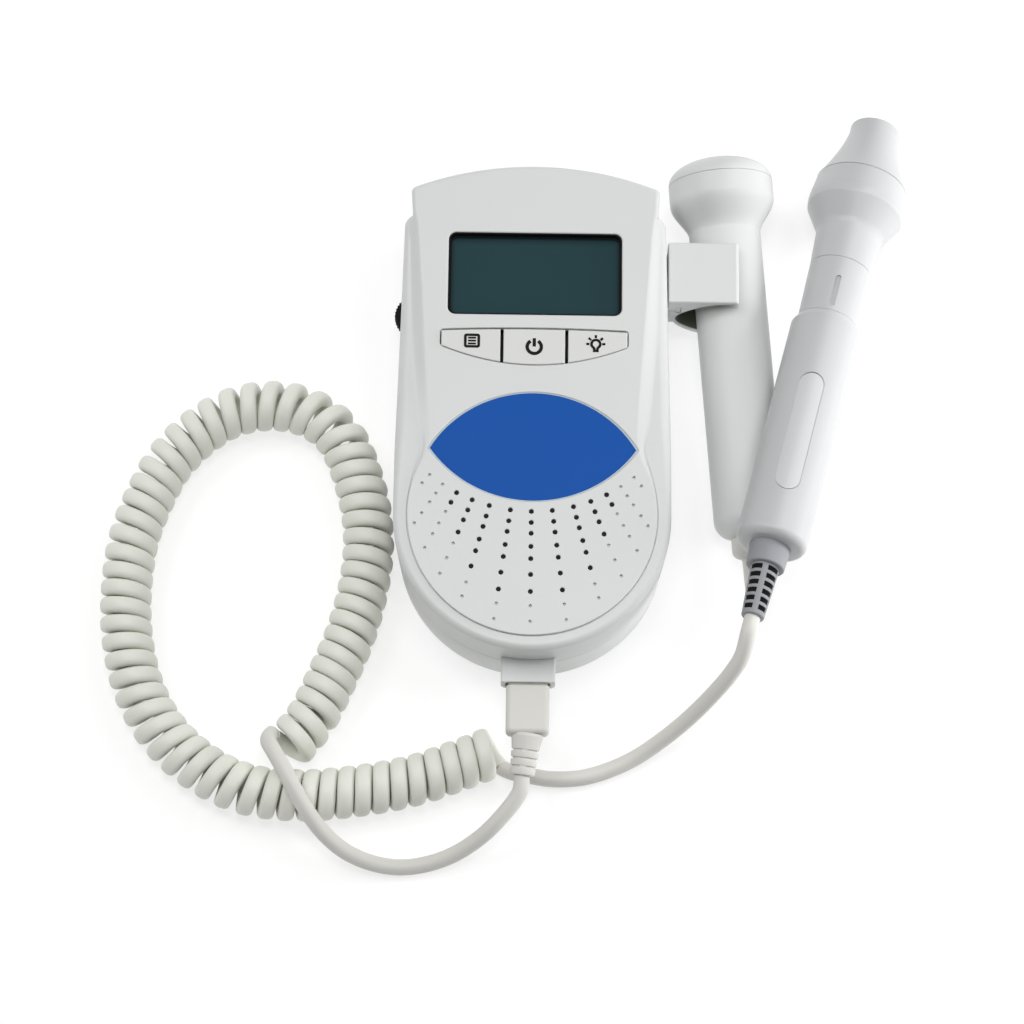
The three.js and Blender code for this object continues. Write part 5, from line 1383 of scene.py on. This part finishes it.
def probe_boot():
    """Collar and strain relief, which has rows of slots on both sides, and a black core inside: painted
    shade seen through the slots.
    """
    top, seat = HANDLE_END - COLLAR_LENGTH, HANDLE_END + 0.05
    collar = filleted([(0, top), (COLLAR_RADIUS, top), (COLLAR_RADIUS + 0.3, seat), (0, seat)],
                      [0, 0.5, 0, 0])
    pencil_piece("probe_collar", turned(collar), "boot", BOOT, "pencil_probe_collar")
    low, upper = top - BOOT_LENGTH, top + 0.05
    broad, narrow = BOOT_RADII
    cone = filleted([(0, low), (narrow, low), (broad, upper), (0, upper)], [0, 0.4, 0, 0])
    slots = []
    for row in range(BOOT_ROWS):
        z = top - BOOT_INSET - BOOT_PITCH * row
        for up in ((1.0, 6.0), (-6.0, -1.0)):
            for side in ((BOOT_MIDDLE, 6.0), (-6.0, -BOOT_MIDDLE)):
                slots.append(block(*up, *side, z - BOOT_SLOT, z))
    pencil_piece("probe_relief", turned(cone), "boot", BOOT, "pencil_probe_boot", cut=joined(*slots))
    # A black core inside the relief: painted shade at the bottom of its slots.
    foot = low + BOOT_INSET
    core = turned([(0, foot), (narrow - BOOT_CORE_DROP, foot), (broad - BOOT_CORE_DROP, top), (0, top)])
    pencil_piece("probe_relief_shade_core", core, "black_plastic", BLACK_AND_SHADE)


def pencil_probe():
    probe_tip()
    probe_head()
    probe_neck()
    probe_handle()
    probe_boot()


# Socket, plug and its strain relief

PLUG_HALF = 5.6
PLUG_THICK = 6.0
PLUG_MIDDLE_Z = 17.0
PLUG_END_Y = -84.9
PLUG_CORNER = 1.4
PLUG_ROUND = 1.3
PLUG_STEPS = 6
PLUG_TONGUE = 9
RELIEF_SPOTS = (-0.5, 0.2, 3.4)
RELIEF_RADII = (3.9, 4.1, 3.6, 3.2)
RELIEF_GROOVES = (3.7, 5.8, 7.9)
RELIEF_GROOVE = (0.55, 0.5)
RELIEF_THICK = (0.78, 0.92)
RELIEF_END_RADIUS = 2.0
BRIDGE_HALF = 0.8
BRIDGE_DROP = 0.12
BRIDGE_SEAT = 0.1


def socket():
    made = as_object("socket_shroud", *along_y(prism(socket_outline(), *SOCKET_Y)))
    half, low, high = SOCKET_OPENING
    opening = rounded_rect(half, (high - low) / 2, SOCKET_OPENING_CORNER) + (SOCKET_X, (high + low) / 2)
    carved(made, along_y(prism(opening, SOCKET_Y[0] - OVERRUN, SOCKET_Y[1] - SOCKET_BACK)))
    bevelled(made, SOCKET_EDGE, 3)
    dressed(soften(made), "case", "case", BODY, "probe_socket")


def plug_ring(y, side, rise, corner):
    return level(rounded_rect(PLUG_HALF - side, PLUG_THICK / 2 - rise, corner), y)


def plug():
    """The plug's shell with its rounded end, and the tongue that goes into the socket."""
    shoulder = SOCKET_Y[0] - GAP
    rings = []
    for along, inset in rounding(PLUG_STEPS):
        edge = PLUG_ROUND * inset
        corner = max(PLUG_CORNER - edge * 0.6, 0.5)
        rings.append(plug_ring(PLUG_END_Y + PLUG_ROUND * along, edge, edge * 0.8, corner))
    for y, inset, corner in ((shoulder - 0.3, 0, PLUG_CORNER), (shoulder, 0.3, PLUG_CORNER),
                             (shoulder, 0.4, PLUG_CORNER - 0.3),
                             (shoulder + PLUG_TONGUE, 0.4, PLUG_CORNER - 0.3)):
        rings.append(plug_ring(y, inset, inset, corner))
    form = moved(along_y(loft(rings)), (SOCKET_X, 0, PLUG_MIDDLE_Z))
    return piece("plug_shell", form, "plug", "lead", LEAD, "plug_body")


def plug_relief():
    """Strain relief at the plug: a rounded cone with three grooves, two of them bridged in the middle."""
    direction = PLUG_BOOT_TO - PLUG_BOOT_FROM
    length = float(np.linalg.norm(direction))

    def wide_at(along):
        return float(np.interp(along, (*RELIEF_SPOTS, length), RELIEF_RADII))

    def share_at(along):
        return float(np.interp(along, (0, length), RELIEF_THICK))

    corners = [(wide_at(along), along) for along in RELIEF_SPOTS]
    radii = [0, 0.6, 2.0]
    height, depth = RELIEF_GROOVE
    for low in RELIEF_GROOVES:
        high = low + height
        corners += [(wide_at(low), low), (wide_at(low) - depth, low + 0.05),
                    (wide_at(high) - depth, high - 0.05), (wide_at(high), high)]
        radii += [0.15, 0.08, 0.08, 0.15]
    corners += [(wide_at(length), length), (RELIEF_END_RADIUS, length)]
    rings = [flat_ring(radius, radius * share_at(along), along)
             for radius, along in filleted(corners, [*radii, 0.4, 0], steps=3)]
    made = as_object("plug_relief", *turned_to(loft(rings), PLUG_BOOT_FROM, direction))
    for low in RELIEF_GROOVES[::2]:
        high = low + height
        top = wide_at(high) * share_at(low) - BRIDGE_DROP
        bridge = block(-top, top, -BRIDGE_HALF, BRIDGE_HALF, low - BRIDGE_SEAT, high + BRIDGE_SEAT)
        carved(made, turned_to(bridge, PLUG_BOOT_FROM, direction), "UNION")
    return dressed(soften(made), "plug", "lead", LEAD, "plug_boot")


# Volume wheel

def volume_wheel():
    """A wheel with a finely waved rim and bevelled edges."""
    count = WHEEL_TEETH * TOOTH_POINTS
    points = []
    for i in range(count):
        angle = FULL_TURN * i / count
        radius = WHEEL_RADIUS - TOOTH_DEPTH * (0.5 - 0.5 * math.cos(FULL_TURN * i / TOOTH_POINTS))
        points.append((radius * math.cos(angle), radius * math.sin(angle)))
    low, high = WHEEL_Z
    section = [(WHEEL_BEVEL_SHARE, low), (1, low + WHEEL_BEVEL), (1, high - WHEEL_BEVEL),
               (WHEEL_BEVEL_SHARE, high)]
    form = stacked(lambda share: np.array(points) * share, section)
    made = as_object("volume_dial", *moved(form, (WHEEL_X, WHEEL_Y, 0)))
    dressed(soften(made, WHEEL_SHARP_DEGREES), "volume_dial", "black_plastic", BLACK_AND_SHADE, "volume_wheel")


# Solids that stay

def kept_nodes():
    """The solids that need no finer piece get the material of their slot."""
    slots = {part["node"]: part["material_slot"] for part in frame["record"]["subparts"]}
    for name, obj in frame["nodes"].items():
        if obj.hide_render:
            continue
        obj.data.materials.clear()
        obj.data.materials.append(SLOT_MATERIALS[slots[name]])
        soften(obj)


# Stage

CAMERA_DISTANCE = 900.0
CAMERA_TARGET = np.array((-5.2, -19.57, 0.0))
CAMERA_TILT = math.radians(17.5)
CAMERA_ROLL = math.radians(0.8)
CAMERA_LENS = 118.5
SENSOR = 36.0
FLOOR_HALF = 4000.0
FLOOR_DROP = 0.1
FLOOR_GLOW = 0.64
FLOOR_TONE = 0.38
WORLD_STRENGTH = 0.46
WORLD_FRONT_SHARE = 0.4

# Lights in metres and watts: name, place, target, width, power and whether it shows in reflections
LIGHTS = (
    ("top_light", (0, 0.0, 1.4), (0, 0, 0), 0.4, 4.6, True),
    ("key_light", (0.6, 0.4, 1.25), (0, 0, 0), 0.6, 3.0, True),
    ("left_light", (-0.6, 0.4, 1.25), (0, 0, 0), 0.6, 5.0, True),
    ("side_light", (0.36, 0.0, 0.08), (0.085, 0, 0.02), 0.12, 0.95, False),
)


def camera():
    back = np.array((0, -math.sin(CAMERA_TILT), math.cos(CAMERA_TILT)))
    right = np.array((1.0, 0, 0))
    up = np.cross(back, right)
    rolled = math.cos(CAMERA_ROLL) * right + math.sin(CAMERA_ROLL) * up
    rolled_up = math.cos(CAMERA_ROLL) * up - math.sin(CAMERA_ROLL) * right
    data = bpy.data.cameras.new("camera")
    data.lens = CAMERA_LENS
    data.sensor_width = SENSOR
    data.clip_start = 0.01
    made = bpy.data.objects.new("camera", data)
    bpy.context.scene.collection.objects.link(made)
    axes = Matrix((rolled, rolled_up, back)).transposed().to_4x4()
    made.matrix_world = Matrix.Translation((CAMERA_TARGET + CAMERA_DISTANCE * back) * MM) @ axes
    bpy.context.scene.camera = made


def floor():
    half = FLOOR_HALF
    corners = [(-half, -half), (half, -half), (half, half), (-half, half)]
    made = as_object("floor", level(corners, -FLOOR_DROP), [(0, 1, 2, 3)])
    glow = {"Emission Color": (1, 1, 1, 1), "Emission Strength": FLOOR_GLOW}
    material = plastic("floor_paper", (FLOOR_TONE,) * 3 + (1,), 0.9, cloud=0.004, **glow)
    made.data.materials.append(material)


def world():
    """An even white surround, weaker from the front."""
    made = bpy.data.worlds.new("studio")
    made.use_nodes = True
    tree = made.node_tree
    background = tree.nodes["Background"]
    background.inputs["Color"].default_value = (1, 1, 1, 1)
    place = node(tree, "ShaderNodeTexCoord")
    split = node(tree, "ShaderNodeSeparateXYZ")
    tree.links.new(place.outputs["Generated"], split.inputs["Vector"])
    front = WORLD_STRENGTH * WORLD_FRONT_SHARE
    ramp(tree, split.outputs["Y"], background.inputs["Strength"], front, WORLD_STRENGTH, -1.0, 0.2)
    bpy.context.scene.world = made


def lights():
    for name, place, target, width, power, in_reflections in LIGHTS:
        data = bpy.data.lights.new(name, "AREA")
        data.shape = "DISK"
        data.size = width
        data.energy = power
        made = bpy.data.objects.new(name, data)
        bpy.context.scene.collection.objects.link(made)
        made.location = place
        made.rotation_euler = (Vector(target) - Vector(place)).to_track_quat("-Z", "Y").to_euler()
        made.visible_glossy = in_reflections
    bpy.context.scene.view_settings.view_transform = "Standard"


camera()
floor()
world()
lights()
front_shell()
grille_cloth_and_shade()
rear_shell()
screen()
keys()
label()
holder()
holder_bore_shade()
flat_probe()
pencil_probe()
socket()
cords([plug(), plug_relief()])
volume_wheel()
kept_nodes()
